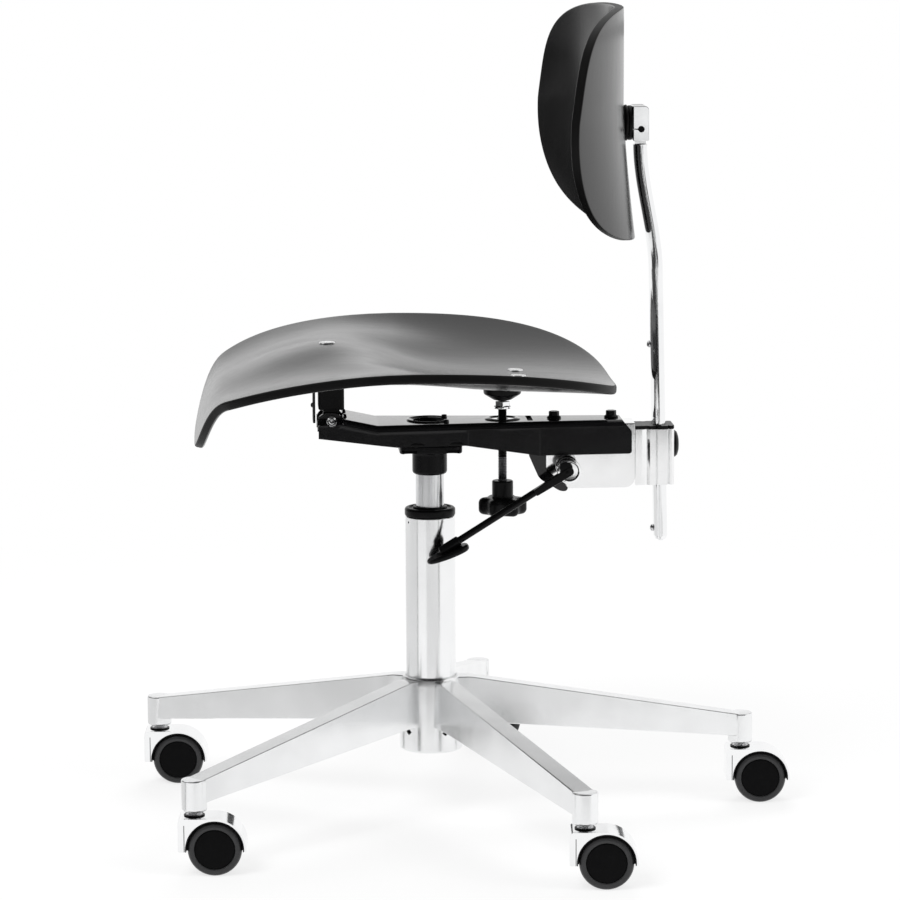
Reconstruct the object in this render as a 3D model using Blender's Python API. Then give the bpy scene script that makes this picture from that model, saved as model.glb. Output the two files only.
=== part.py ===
# Swivel chair: moulded plywood seat and backrest on a tilting carrier, a gas lift and a five-arm base.
# The chair faces -X, its left side is -Y, and it stands on Z = 0. All sizes are in metres.

import math

import bmesh
import bpy
from mathutils import Matrix, Vector

# Fits
CLEARANCE = 0.0003
SEAT_GAP = 0.0004
SMALLEST = 0.000001
SLOPE_STEP = 0.0005

# Place of the column axis, which centres the footprint on the origin
COLUMN_X = -0.0390
COLUMN_Y = -0.0100

# Five-arm base
ARM_COUNT = 5
FIRST_ARM_TURN = 5.7
ARM_REACH = 0.3176
ARM_ROOT_REACH = 0.039
ARM_ROOT_TOP = 0.1405
ARM_ROOT_BOTTOM = 0.0945
ARM_ROOT_WIDTH = 0.0215
ARM_TIP_TOP = 0.0900
ARM_TIP_BOTTOM = 0.0680
ARM_TIP_WIDTH = 0.0222
ARM_CHAMFER = 0.0012
ARM_TOP_INSET = 0.0006
HUB_WALL = 0.0062
HUB_TOP_WALL = 0.0036
HUB_BOTTOM = 0.068
HUB_TOP = 0.143
HUB_LIP_HEIGHT = 0.004
HUB_LIP_WIDTH = 0.006
HUB_EDGE = 0.0014
SOCKET_DIAMETER = 0.0245
SOCKET_TOP = 0.0905
SOCKET_BOTTOM = 0.0600
SOCKET_ROOF = 0.004
SOCKET_EDGE = 0.0012

# Castors, each trailing along +X of its own frame
CASTOR_HEADING = -3.4
CASTOR_TRAIL = 0.0197
WHEEL_RADIUS = 0.02585
WHEEL_WIDTH = 0.0135
WHEEL_SIDES = 20
WHEEL_RUNNING_GAP = 0.0010
TREAD_WIDTH = 0.0065
TREAD_CHAMFER = 0.0012
HUB_CAP_RECESS = 0.0010
AXLE_DIAMETER = 0.006
AXLE_COVER = 0.003
WEB_WIDTH = 0.008
WEB_BELOW_AXLE = 0.0048
FENDER_WALL = 0.0012
HOOD_WALL = 0.0015
HOOD_FRONT = 0.0150
HOOD_CORNER = 0.0035
HOOD_SKIRT = 0.0020
STEM_DIAMETER = 0.010
NECK_DIAMETER = 0.017
NECK_DEPTH = 0.0045

# Column and gas lift
COLUMN_DIAMETER = 0.050
COLUMN_WALL = 0.003
COLUMN_TOP = 0.3043
COLUMN_FLOOR = 0.004
COLLAR_HEIGHT = 0.0081
COLLAR_EDGE = 0.0012
BUSH_LENGTH = 0.070
BEARING_DIAMETER = 0.024
BEARING_HEIGHT = 0.005
ROD_DIAMETER = 0.010
ROD_SHOULDER_DIAMETER = 0.018
ROD_SHOULDER_HEIGHT = 0.004
ROD_LENGTH = 0.230
PISTON_HEIGHT = 0.012
CYLINDER_DIAMETER = 0.028
CYLINDER_WALL = 0.003
CYLINDER_LENGTH = 0.257
CYLINDER_HEAD = 0.037
GLAND_HEIGHT = 0.006
TAPER_DROP = 0.0010
BUTTON_DIAMETER = 0.006
BUTTON_LENGTH = 0.019
BUTTON_RISE = 0.006
BUTTON_BORE_DEPTH = 0.018

# Taper housing under the carrier
FLANGE_LENGTH = 0.062
FLANGE_THICKNESS = 0.0080
FLANGE_CORNER = 0.0093
SLEEVE_DIAMETER = 0.0346
SLEEVE_LENGTH = 0.024
SLEEVE_EDGE = 0.0035

# Seat carrier, a steel channel open below
CARRIER_TOP = 0.400
CARRIER_WALL = 0.003
CARRIER_FRONT_X = -0.110
CARRIER_NECK_X = -0.077
CARRIER_WIDE_X = -0.050
CARRIER_BEND_X = 0.034
CARRIER_STEP_X = 0.107
CARRIER_REAR_X = 0.1995
CARRIER_FRONT_WIDTH = 0.036
CARRIER_WIDE_WIDTH = 0.080
CARRIER_STEP_WIDTH = 0.051
CARRIER_REAR_WIDTH = 0.041
CARRIER_FRONT_DEPTH = 0.0125
CARRIER_MID_DEPTH = 0.0215
CARRIER_REAR_DEPTH = 0.0335
CARRIER_REAR_CHAMFER = 0.011
EAR_HEIGHT = 0.012
EAR_CORNER = 0.005
LIFT_HOLE_DIAMETER = 0.0455
SPINDLE_HOLE_DIAMETER = 0.036
GUSSET_LENGTH = 0.010
GUSSET_DEPTH = 0.023
GUSSET_TAB_LENGTH = 0.021
GUSSET_TAB_WIDTH = 0.007
GUSSET_TAB_DROP = 0.013
GUSSET_INSET = 0.0003
GUSSET_THICKNESS = 0.0024

# Front hinge of the seat
HINGE_X = -0.0975
HINGE_RISE = 0.003
HINGE_BOLT_DIAMETER = 0.006
HINGE_HEAD_DIAMETER = 0.0105
HINGE_HEAD_HEIGHT = 0.0032
HINGE_LUG_RADIUS = 0.008
BLOCK_LENGTH = 0.0256
BLOCK_RISE = 0.0128
STRAP_GAP = 0.0030
STRAP_THICKNESS = 0.0024
STRAP_WIDTH = 0.024
STRAP_RIVET_DIAMETER = 0.005
STRAP_RIVET_RISE = 0.0165
STRAP_RIVET_HEAD = 0.0010

# Tilt spindle
SPINDLE_X = 0.0725
SPINDLE_DIAMETER = 0.0088
SPINDLE_LENGTH = 0.090
SPINDLE_PLATE_DIAMETER = 0.064
SPINDLE_PLATE_EDGE = 0.004
SPINDLE_BOSS_DIAMETER = 0.038
SPINDLE_CONE_TOP = 0.012
SPINDLE_CONE_BOTTOM = 0.0175
SPINDLE_CONE_DIAMETER = 0.018
NUT_DIAMETER = 0.0172
NUT_HEIGHT = 0.0082
NUT_TOP_DIAMETER = 0.006
NUT_DOME_HEIGHT = 0.0025
NUT_PLAY = 0.0006
NUT_CROWN = 0.002
TRUNNION_DIAMETER = 0.014
TRUNNION_DEPTH = 0.021
STAR_DIAMETER = 0.048
STAR_LOBES = 6
STAR_LOBE_DEPTH = 0.0050
STAR_HEIGHT = 0.017
STAR_EDGE = 0.0035
STAR_END_SHARE = 0.8
STAR_HUB_DIAMETER = 0.021
STAR_HUB_HEIGHT = 0.0172
STAR_SCREW_DEPTH = 0.012

# Back bracket, post clamp and carrier bolts
BRACKET_WIDTH = 0.0344
BRACKET_WALL = 0.003
BRACKET_FRONT_X = 0.1093
BRACKET_REAR_X = 0.2030
BRACKET_DEPTH = 0.068
BRACKET_FRONT_CUT = 0.016
BRACKET_FRONT_RISE = 0.0112
BRACKET_REAR_CORNER = 0.010
BOLT_FRONT_X = 0.1239
BOLT_REAR_X = 0.1808
BOLT_DIAMETER = 0.006
BOLT_LENGTH = 0.012
BOLT_FLANGE_DIAMETER = 0.0142
BOLT_FLANGE_HEIGHT = 0.0018
BOLT_HEAD_DIAMETER = 0.011
BOLT_HEAD_HEIGHT = 0.0056
CLAMP_LENGTH = 0.0390
CLAMP_WIDTH = 0.036
CLAMP_TOP = 0.390
CLAMP_BOTTOM = 0.334
CLAMP_GROOVE = 0.0016
CLAMP_GROOVE_FRONT = 0.0117
CLAMP_GROOVE_REAR = 0.0332
CAP_THICKNESS = 0.003
KNOB_DIAMETER = 0.0272
KNOB_HEIGHT = 0.0056
KNOB_RISE = 0.039
KNOB_PROFILE = ((0.0, 1.0), (0.55, 0.93), (0.85, 0.70), (1.0, 0.25), (1.0, 0.0))
KNOB_SCREW_DIAMETER = 0.006

# Height release
LEVER_X = 0.135
LEVER_DROP = 0.046
LEVER_SHAFT_DIAMETER = 0.010
LEVER_HUB_DIAMETER = 0.020
LEVER_HUB_LENGTH = 0.025
BUSHING_DIAMETER = 0.020
BUSHING_LENGTH = 0.007
LEVER_ROD_DIAMETER = 0.007
LEVER_ROD_LENGTH = 0.146
LEVER_ROD_SLOPE = 32.0
LEVER_ROD_INSET = 0.019
CRANK_REACH = 0.022
CRANK_RISE = 0.0325
CRANK_WIDTH = 0.0052
CRANK_THICKNESS = 0.008
PADDLE_LENGTH = 0.044
PADDLE_WIDTH = 0.030
PADDLE_THICKNESS = 0.007
PADDLE_SLOPE = 21.5
PADDLE_BACK = 0.004
PADDLE_DROP = 0.004
PADDLE_ROUNDING = 0.75
PADDLE_LAYERS = ((-0.5, 0.85), (-0.2, 1.0), (0.2, 1.0), (0.5, 0.85))
ROCKER_X = 0.040
ROCKER_DROP = 0.0105
ROCKER_THICKNESS = 0.0024
ROCKER_INSET = 0.0008
ROCKER_TAB = 0.002
ROCKER_CHEEK = 0.0045
ROCKER_STEP = 0.0002
ROCKER_ROOF_GAP = 0.0044
ROCKER_PIN_DIAMETER = 0.005

# Back post, leaning forward as it rises
POST_THICKNESS = 0.014
POST_WIDTH = 0.026
POST_FOOT_X = 0.2303
POST_BOTTOM = 0.277
POST_TOP = 0.6718
POST_LEAN = 0.0196
POST_BEND_START = 0.548
POST_BEND_LENGTH = 0.120
POST_BEND_OFFSET = 0.0134
POST_END_ROUND = 0.005
POST_ROUNDING = 0.6
POST_END_STEPS = ((0.0, 0.55), (0.4, 0.85), (1.0, 1.0))
STOP_UPPER_Z = 0.473
STOP_LOWER_Z = 0.288
STOP_HEAD_DIAMETER = 0.0070
STOP_HEAD_HEIGHT = 0.0028
STOP_TOP_DIAMETER = 0.0042
STOP_EDGE_HEIGHT = 0.0011
STOP_SHANK_DIAMETER = 0.003
STOP_SHANK_LENGTH = 0.004

# Backrest hinge
PIN_Z = 0.6872
PIN_DIAMETER = 0.006
TONGUE_WIDTH = 0.010
TONGUE_THICKNESS = 0.011
TONGUE_PLAY = 0.0006
BACK_BLOCK_LENGTH = 0.0158
BACK_BLOCK_WIDTH = 0.030
BACK_BLOCK_BELOW = 0.0118
BACK_BLOCK_ABOVE = 0.0226
BACK_BLOCK_ROUND = 0.004
WASHER_DIAMETER = 0.0355

# Plywood shells
SEAT_THICKNESS = 0.009
SEAT_CENTRE_X = -0.050
SEAT_WIDTH = 0.4772
SEAT_FRONT_LENGTH = 0.1835
SEAT_REAR_LENGTH = 0.231
SEAT_SQUARENESS = 3.1
SEAT_HEIGHT = 0.4473
SEAT_LOW_X = -0.020
SEAT_SIDE_RISE = 0.55
SEAT_REAR_FALL = 0.17
SEAT_FRONT_FALL = 0.73
SEAT_LIP_LENGTH = 0.0335
SEAT_LIP_DROP = 0.047
SEAT_LIP_POWER = 2.7
POMMEL_HEIGHT = 0.036
POMMEL_X = -0.110
POMMEL_REAR_SPREAD = 0.078
POMMEL_FRONT_SPREAD = 0.137
POMMEL_SIDE_SPREAD = 0.110
POMMEL_NARROW_SHARE = 0.45
SEAT_SCREW_FRONT_X = -0.1008
SEAT_SCREW_REAR_X = 0.087
SEAT_SCREW_REAR_Y = 0.0205
SEAT_SCREW_HEAD_DIAMETER = 0.0155
SEAT_SCREW_TOP_DIAMETER = 0.0140
SEAT_SCREW_HEAD_HEIGHT = 0.0016
SEAT_SCREW_DIAMETER = 0.006
SEAT_SCREW_LENGTH = 0.013
BACK_THICKNESS = 0.009
BACK_WIDTH = 0.3858
BACK_MIDDLE_Z = 0.720
BACK_UP = 0.0877
BACK_DOWN = 0.1405
BACK_UP_SQUARENESS = 3.53
BACK_DOWN_SQUARENESS = 2.46
BACK_SPINE_X = 0.1822
BACK_SPINE_BEND_Z = 0.706
BACK_SPINE_SLOPE = 0.06
BACK_SPINE_CURVE = 0.3
BACK_WRAP_Z = 0.700
BACK_WRAP_SPAN = 0.100
BACK_WRAP_TERMS = (1.601, -0.385, 0.066, -0.128, 0.286)

# Facets
ROUND_SIDES = 24
SMALL_SIDES = 12
POST_SIDES = 16
ARC_STEPS = 4
BEND_STEPS = 6
FENDER_STEPS = 10
SHELL_SIDES = 40
SHELL_RINGS = (0.20, 0.38, 0.54, 0.68, 0.80, 0.89, 0.95, 0.985)
EDGE_DEPTHS = (0.28, 0.72)
SHARP_ANGLE = 32.0
AXIS_DISPLAY_SIZE = 0.02

# Places that several pieces share
carrierMidBottom = CARRIER_TOP - CARRIER_MID_DEPTH
hingeZ = CARRIER_TOP + HINGE_RISE
leverZ = CARRIER_TOP - LEVER_DROP
bracketTop = CARRIER_TOP - CARRIER_WALL - CLEARANCE
bracketInside = BRACKET_WIDTH / 2 - BRACKET_WALL
rockerZ = CARRIER_TOP - ROCKER_DROP
rockerOuterY = -bracketInside + ROCKER_INSET
rockerInnerY = rockerOuterY + ROCKER_THICKNESS
trunnionZ = CARRIER_TOP - TRUNNION_DEPTH
columnBottom = HUB_BOTTOM + HUB_LIP_HEIGHT + CLEARANCE
bearingBottom = columnBottom + COLUMN_FLOOR + CLEARANCE
bearingTop = bearingBottom + BEARING_HEIGHT
cylinderTop = carrierMidBottom - CLEARANCE - TAPER_DROP
cylinderBottom = cylinderTop - CYLINDER_LENGTH
buttonTop = cylinderTop + BUTTON_RISE
clampFront = BRACKET_REAR_X + CLEARANCE
clampRear = clampFront + CLAMP_LENGTH
axleZ = WHEEL_RADIUS
fenderInner = WHEEL_RADIUS + WHEEL_RUNNING_GAP
fenderOuter = fenderInner + FENDER_WALL
hoodInner = fenderOuter + CLEARANCE
hoodOuter = hoodInner + HOOD_WALL
castorHalfWidth = WEB_WIDTH / 2 + CLEARANCE + WHEEL_WIDTH
hoodTop = axleZ + hoodOuter
hubBore = COLUMN_DIAMETER / 2 + CLEARANCE
flangeTop = carrierMidBottom - CLEARANCE
flangeBottom = flangeTop - FLANGE_THICKNESS
sleeveBottom = flangeBottom - SLEEVE_LENGTH


def clear_scene():
    for item in list(bpy.data.objects):
        bpy.data.objects.remove(item, do_unlink=True)


# Materials


def material(name, colour, roughness, metallic):
    made = bpy.data.materials.new(name)
    made.use_nodes = True
    shader = made.node_tree.nodes["Principled BSDF"]
    shader.inputs["Base Color"].default_value = (*colour, 1.0)
    shader.inputs["Roughness"].default_value = roughness
    shader.inputs["Metallic"].default_value = metallic
    made.diffuse_color = (*colour, 1.0)
    return made


# Shapes, each a closed bmesh


def turned(profile, sides=ROUND_SIDES):
    """A profile of (radius, height) points turned about Z. It closes on the axis or on itself."""
    shape = bmesh.new()
    points = [shape.verts.new((radius, 0.0, height)) for radius, height in profile]
    edges = [shape.edges.new(pair) for pair in zip(points, points[1:])]
    if profile[0][0] > 0.0 or profile[-1][0] > 0.0:
        edges.append(shape.edges.new((points[-1], points[0])))
    bmesh.ops.spin(shape, geom=points + edges, axis=(0, 0, 1), cent=(0, 0, 0),
                   angle=math.tau, steps=sides, use_merge=True)
    bmesh.ops.remove_doubles(shape, verts=shape.verts, dist=SMALLEST)
    return shape


def cylinder(diameter, bottom, top, sides=ROUND_SIDES):
    radius = diameter / 2
    return turned([(0, top), (radius, top), (radius, bottom), (0, bottom)], sides)


def extruded(outline, direction):
    """A flat outline pushed along a direction."""
    shape = bmesh.new()
    face = shape.faces.new([shape.verts.new(point) for point in outline])
    pushed = bmesh.ops.extrude_face_region(shape, geom=[face])["geom"]
    corners = [item for item in pushed if isinstance(item, bmesh.types.BMVert)]
    bmesh.ops.translate(shape, vec=direction, verts=corners)
    return shape


def side_plate(outline, low, high):
    """An outline of (x, z) points, between two values of Y."""
    return extruded([(x, low, z) for x, z in outline], (0, high - low, 0))


def flat_plate(outline, low, high):
    """An outline of (x, y) points, between two values of Z."""
    return extruded([(x, y, low) for x, y in outline], (0, 0, high - low))


def block(xLow, xHigh, yLow, yHigh, zLow, zHigh):
    return flat_plate([(xLow, yLow), (xHigh, yLow), (xHigh, yHigh), (xLow, yHigh)], zLow, zHigh)


def lofted(rings):
    """Rings of the same number of points, skinned in order and closed at both ends."""
    shape = bmesh.new()
    rows = [[shape.verts.new(point) for point in ring] for ring in rings]
    count = len(rows[0])
    for lower, upper in zip(rows, rows[1:]):
        for index in range(count):
            following = (index + 1) % count
            shape.faces.new((lower[index], lower[following], upper[following], upper[index]))
    shape.faces.new(rows[0])
    shape.faces.new(rows[-1])
    return shape


def arc(centre, radius, start, end, steps=ARC_STEPS):
    """Points along an arc, with angles in degrees."""
    angles = [math.radians(start + (end - start) * step / steps) for step in range(steps + 1)]
    return [(centre[0] + radius * math.cos(a), centre[1] + radius * math.sin(a)) for a in angles]


def oval(centreX, z, thickness, width, sides=POST_SIDES):
    """A level ring with flat sides and rounded front and rear, long across the chair."""
    ring = []
    for index in range(sides):
        turn = math.tau * (index + 0.5) / sides
        across = math.copysign(abs(math.sin(turn)) ** POST_ROUNDING, math.sin(turn))
        ring.append((centreX + thickness / 2 * math.cos(turn), width / 2 * across, z))
    return ring


def moved(shape, x=0.0, y=0.0, z=0.0):
    bmesh.ops.translate(shape, vec=(x, y, z), verts=shape.verts)
    return shape


def aimed(shape, axis):
    """The shape with its Z axis turned along the given axis."""
    turn = Vector((0, 0, 1)).rotation_difference(Vector(axis)).to_matrix()
    bmesh.ops.rotate(shape, cent=(0, 0, 0), matrix=turn, verts=shape.verts)
    return shape


def spun(shape, degrees):
    bmesh.ops.rotate(shape, cent=(0, 0, 0), matrix=Matrix.Rotation(math.radians(degrees), 3, "Z"),
                     verts=shape.verts)
    return shape


# Objects


def mesh_of(name, shape):
    bmesh.ops.recalc_face_normals(shape, faces=shape.faces)
    mesh = bpy.data.meshes.new(name)
    shape.to_mesh(mesh)
    shape.free()
    return mesh


def combined(name, shape, joins=(), cuts=()):
    """One mesh: the shape, with others joined to it and then others cut from it."""
    whole = bpy.data.objects.new(name, mesh_of(name, shape))
    bpy.context.scene.collection.objects.link(whole)
    helpers = []
    for operation, others in (("UNION", joins), ("DIFFERENCE", cuts)):
        for other in others:
            helper = bpy.data.objects.new(name + "_helper", mesh_of(name + "_helper", other))
            helper.hide_render = True
            helper.display_type = "WIRE"
            bpy.context.scene.collection.objects.link(helper)
            helpers.append(helper)
            step = whole.modifiers.new(operation.lower(), "BOOLEAN")
            step.operation = operation
            step.solver = "EXACT"
            step.object = helper
    bpy.context.view_layer.update()
    evaluated = whole.evaluated_get(bpy.context.evaluated_depsgraph_get())
    mesh = bpy.data.meshes.new_from_object(evaluated)
    for item in [whole, *helpers]:
        bpy.data.objects.remove(item, do_unlink=True)
    return mesh


def axis_empty(name, x, y, z, parent=None, turn=0.0):
    empty = bpy.data.objects.new(name, None)
    empty.location = (x, y, z)
    empty.rotation_euler = (0, 0, math.radians(turn))
    empty.parent = parent
    empty.empty_display_size = AXIS_DISPLAY_SIZE
    bpy.context.scene.collection.objects.link(empty)
    return empty


def piece(name, mesh, finish, axis, local=False):
    """A named piece under the empty of its joint. Its mesh is drawn about the column unless it is local."""
    if not local:
        mesh.transform(Matrix.Translation(-axis.location))
    mesh.materials.clear()
    mesh.materials.append(finish)
    mesh.shade_smooth()
    mesh.set_sharp_from_angle(angle=math.radians(SHARP_ANGLE))
    made = bpy.data.objects.new(name, mesh)
    made.parent = axis
    bpy.context.scene.collection.objects.link(made)
    return made


# Plywood shells


def signed_power(value, power):
    return math.copysign(abs(value) ** power, value)


def seat_height(x, y):
    """Height of the seat's upper face."""
    along = x - SEAT_LOW_X
    fall = SEAT_REAR_FALL if along > 0 else SEAT_FRONT_FALL
    front = SEAT_CENTRE_X - SEAT_FRONT_LENGTH
    lip = max(0.0, (front + SEAT_LIP_LENGTH - x) / SEAT_LIP_LENGTH)
    spread = POMMEL_REAR_SPREAD if x > POMMEL_X else POMMEL_FRONT_SPREAD
    pommel = POMMEL_HEIGHT * math.exp(-((x - POMMEL_X) / spread) ** 2)
    narrow = POMMEL_NARROW_SHARE * math.exp(-(y / POMMEL_SIDE_SPREAD) ** 2)
    pommel *= narrow + (1 - POMMEL_NARROW_SHARE) * (1 - (2 * y / SEAT_WIDTH) ** 2)
    level = SEAT_HEIGHT - fall * along ** 2 - SEAT_LIP_DROP * lip ** SEAT_LIP_POWER
    return level + SEAT_SIDE_RISE * y ** 2 + pommel


def surface_normal(height, x, y, step=SLOPE_STEP):
    slopeX = (height(x + step, y) - height(x - step, y)) / (2 * step)
    slopeY = (height(x, y + step) - height(x, y - step)) / (2 * step)
    return Vector((-slopeX, -slopeY, 1.0)).normalized()


def seat_underside(x, y):
    """Height of the seat's lower face above a point of the plan."""
    return seat_height(x, y) - SEAT_THICKNESS / surface_normal(seat_height, x, y).z


def seat_middle(x, y):
    """Height of the middle of the plywood."""
    return (seat_height(x, y) + seat_underside(x, y)) / 2


def back_depth(y, z):
    """X of the backrest's inner face."""
    below = max(0.0, BACK_SPINE_BEND_Z - z)
    spine = BACK_SPINE_X + BACK_SPINE_SLOPE * below + BACK_SPINE_CURVE * below ** 2
    rise = (z - BACK_WRAP_Z) / BACK_WRAP_SPAN
    wrap = sum(term * rise ** power for power, term in enumerate(BACK_WRAP_TERMS))
    return spine - wrap * y ** 2


def seat_point(turn, share, depth):
    """A point of the seat, from an angle round the plan, a share of the way out and a depth."""
    length = SEAT_REAR_LENGTH if math.cos(turn) > 0 else SEAT_FRONT_LENGTH
    power = 2 / SEAT_SQUARENESS
    x = SEAT_CENTRE_X + share * length * signed_power(math.cos(turn), power)
    y = share * SEAT_WIDTH / 2 * signed_power(math.sin(turn), power)
    return Vector((x, y, seat_height(x, y))) - depth * surface_normal(seat_height, x, y)


def back_point(turn, share, depth):
    """A point of the backrest, with its depth behind the inner face."""
    upper = math.sin(turn) > 0
    power = 2 / (BACK_UP_SQUARENESS if upper else BACK_DOWN_SQUARENESS)
    y = share * BACK_WIDTH / 2 * signed_power(math.cos(turn), power)
    reach = BACK_UP if upper else BACK_DOWN
    z = BACK_MIDDLE_Z + share * reach * signed_power(math.sin(turn), power)
    normal = surface_normal(back_depth, y, z)
    return Vector((back_depth(y, z), y, z)) + depth * Vector((normal.z, normal.x, normal.y))


def shell(point, thickness):
    """A curved sheet: rings out over one face, round the edge and back over the other face."""
    shape = bmesh.new()
    turns = [math.tau * (index + 0.5) / SHELL_SIDES for index in range(SHELL_SIDES)]
    stations = [(share, 0.0) for share in SHELL_RINGS]
    stations += [(1.0, depth) for depth in EDGE_DEPTHS]
    stations += [(share, 1.0) for share in reversed(SHELL_RINGS)]
    rows = []
    for share, depth in stations:
        rows.append([shape.verts.new(point(turn, share, depth * thickness)) for turn in turns])
    first = shape.verts.new(point(0.0, 0.0, 0.0))
    last = shape.verts.new(point(0.0, 0.0, thickness))
    for index in range(SHELL_SIDES):
        following = (index + 1) % SHELL_SIDES
        for inner, outer in zip(rows, rows[1:]):
            shape.faces.new((inner[index], outer[index], outer[following], inner[following]))
        shape.faces.new((first, rows[0][index], rows[0][following]))
        shape.faces.new((last, rows[-1][following], rows[-1][index]))
    return shape


def seat_room():
    """The seat and the gap below it, which shapes whatever carries the seat."""
    return shell(seat_point, SEAT_THICKNESS + SEAT_GAP)


def back_room():
    """The backrest and the gap behind it."""
    return shell(back_point, BACK_THICKNESS + SEAT_GAP)


def seat_screw_places():
    return {
        "seat_screw_front": (SEAT_SCREW_FRONT_X, 0.0),
        "seat_screw_rear_left": (SEAT_SCREW_REAR_X, -SEAT_SCREW_REAR_Y),
        "seat_screw_rear_right": (SEAT_SCREW_REAR_X, SEAT_SCREW_REAR_Y),
    }


def on_seat(shape, x, y):
    """A shape drawn about Z, stood square on the seat's upper face."""
    return moved(aimed(shape, surface_normal(seat_height, x, y)), x, y, seat_height(x, y))


def seat_screw_hole(x, y):
    reach = SEAT_THICKNESS + SEAT_SCREW_LENGTH
    return on_seat(cylinder(SEAT_SCREW_DIAMETER + 2 * CLEARANCE, -reach, reach, SMALL_SIDES), x, y)


def seat_screw(x, y):
    head = SEAT_SCREW_HEAD_DIAMETER / 2
    shank = SEAT_SCREW_DIAMETER / 2
    top = SEAT_GAP + SEAT_SCREW_HEAD_HEIGHT
    profile = [(0, top), (SEAT_SCREW_TOP_DIAMETER / 2, top), (head, SEAT_GAP), (shank, SEAT_GAP),
               (shank, -SEAT_SCREW_LENGTH), (0, -SEAT_SCREW_LENGTH)]
    return on_seat(turned(profile, SMALL_SIDES), x, y)


def under_seat(xLow, xHigh, halfWidth, bottom, steps=4):
    """A block whose top lies inside the seat, to be cut back by the seat's room."""
    shape = bmesh.new()
    bmesh.ops.create_grid(shape, x_segments=steps, y_segments=steps, size=0.5)
    for corner in shape.verts:
        x = xLow + (xHigh - xLow) * (corner.co.x + 0.5)
        y = 2 * halfWidth * corner.co.y
        corner.co = (x, y, seat_middle(x, y))
    pushed = bmesh.ops.extrude_face_region(shape, geom=list(shape.faces))["geom"]
    for item in pushed:
        if isinstance(item, bmesh.types.BMVert):
            item.co.z = bottom
    return shape


def build_shells(seatAxis, backAxis, plywood, steel):
    holes = [seat_screw_hole(x, y) for x, y in seat_screw_places().values()]
    seat = combined("seat_shell", shell(seat_point, SEAT_THICKNESS), cuts=holes)
    piece("seat_shell", seat, plywood, seatAxis)
    for name, (x, y) in seat_screw_places().items():
        piece(name, mesh_of(name, seat_screw(x, y)), steel, seatAxis)
    backrest = mesh_of("backrest_shell", shell(back_point, BACK_THICKNESS))
    piece("backrest_shell", backrest, plywood, backAxis)


# Five-arm base


def base_arm(turn):
    """A tapering arm with cut corners, from inside the hub wall to the middle of its castor socket."""
    def section(reach):
        share = max(0, (reach - ARM_ROOT_REACH) / (ARM_REACH - ARM_ROOT_REACH))
        top = ARM_ROOT_TOP + share * (ARM_TIP_TOP - ARM_ROOT_TOP)
        bottom = ARM_ROOT_BOTTOM + share * (ARM_TIP_BOTTOM - ARM_ROOT_BOTTOM)
        half = (ARM_ROOT_WIDTH + share * (ARM_TIP_WIDTH - ARM_ROOT_WIDTH)) / 2
        cut = ARM_CHAMFER
        upper = half - ARM_TOP_INSET
        corners = [(-half, bottom + cut), (-half + cut, bottom), (half - cut, bottom),
                   (half, bottom + cut), (upper, top - cut), (upper - cut, top), (cut - upper, top),
                   (-upper, top - cut)]
        return [(reach, y, z) for y, z in corners]
    root = hubBore + HUB_TOP_WALL / 2
    return spun(lofted([section(root), section(ARM_ROOT_REACH), section(ARM_REACH)]), turn)


def base_socket(turn):
    radius = SOCKET_DIAMETER / 2
    edge = SOCKET_EDGE
    body = turned([(0, SOCKET_TOP), (radius - edge, SOCKET_TOP), (radius, SOCKET_TOP - edge),
                   (radius, SOCKET_BOTTOM), (0, SOCKET_BOTTOM)])
    return spun(moved(body, ARM_REACH), turn)


def base_stem_bore(turn):
    bore = cylinder(STEM_DIAMETER + 2 * CLEARANCE, SOCKET_BOTTOM - SOCKET_ROOF,
                    SOCKET_TOP - SOCKET_ROOF, SMALL_SIDES)
    offset = spun(bore, 180 / ROUND_SIDES)    # its edges stay clear of those of the socket
    return spun(moved(offset, ARM_REACH), turn)


def build_base(root, aluminium):
    turns = [FIRST_ARM_TURN + 360 * index / ARM_COUNT for index in range(ARM_COUNT)]
    outer = hubBore + HUB_WALL
    outerTop = hubBore + HUB_TOP_WALL
    lip = hubBore - HUB_LIP_WIDTH
    lipTop = HUB_BOTTOM + HUB_LIP_HEIGHT
    hub = turned([(hubBore, HUB_TOP), (outerTop - HUB_EDGE, HUB_TOP), (outerTop, HUB_TOP - HUB_EDGE),
                  (outer, ARM_ROOT_BOTTOM - HUB_EDGE), (outer, HUB_BOTTOM), (lip, HUB_BOTTOM),
                  (lip, lipTop), (hubBore, lipTop)])
    joins = [base_arm(turn) for turn in turns] + [base_socket(turn) for turn in turns]
    cuts = [base_stem_bore(turn) for turn in turns]
    piece("star_base", combined("star_base", hub, joins, cuts), aluminium, root)
    return turns


# Castors


def hood_outline(inset):
    """Side view of the hood from its rear lower end, over the wheel, to its front lower end."""
    radius = hoodOuter - inset
    foot = axleZ - HOOD_SKIRT
    corner = (HOOD_CORNER - HOOD_FRONT, axleZ + hoodOuter - HOOD_CORNER)
    points = [(CASTOR_TRAIL + radius, foot)]
    points += arc((CASTOR_TRAIL, axleZ), radius, 0, 90, FENDER_STEPS // 2)
    points += arc(corner, HOOD_CORNER - inset, 90, 180, ARC_STEPS // 2)
    points.append((inset - HOOD_FRONT, foot))
    return points


def castor_hood():
    half = castorHalfWidth + CLEARANCE
    canopy = side_plate(hood_outline(0.0) + hood_outline(HOOD_WALL)[::-1], -half, half)
    hole = cylinder(NECK_DIAMETER + 2 * CLEARANCE, hoodTop - 4 * HOOD_WALL, hoodTop + 4 * HOOD_WALL,
                    SMALL_SIDES)
    return combined("castor_hood", canopy, cuts=[hole])


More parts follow.
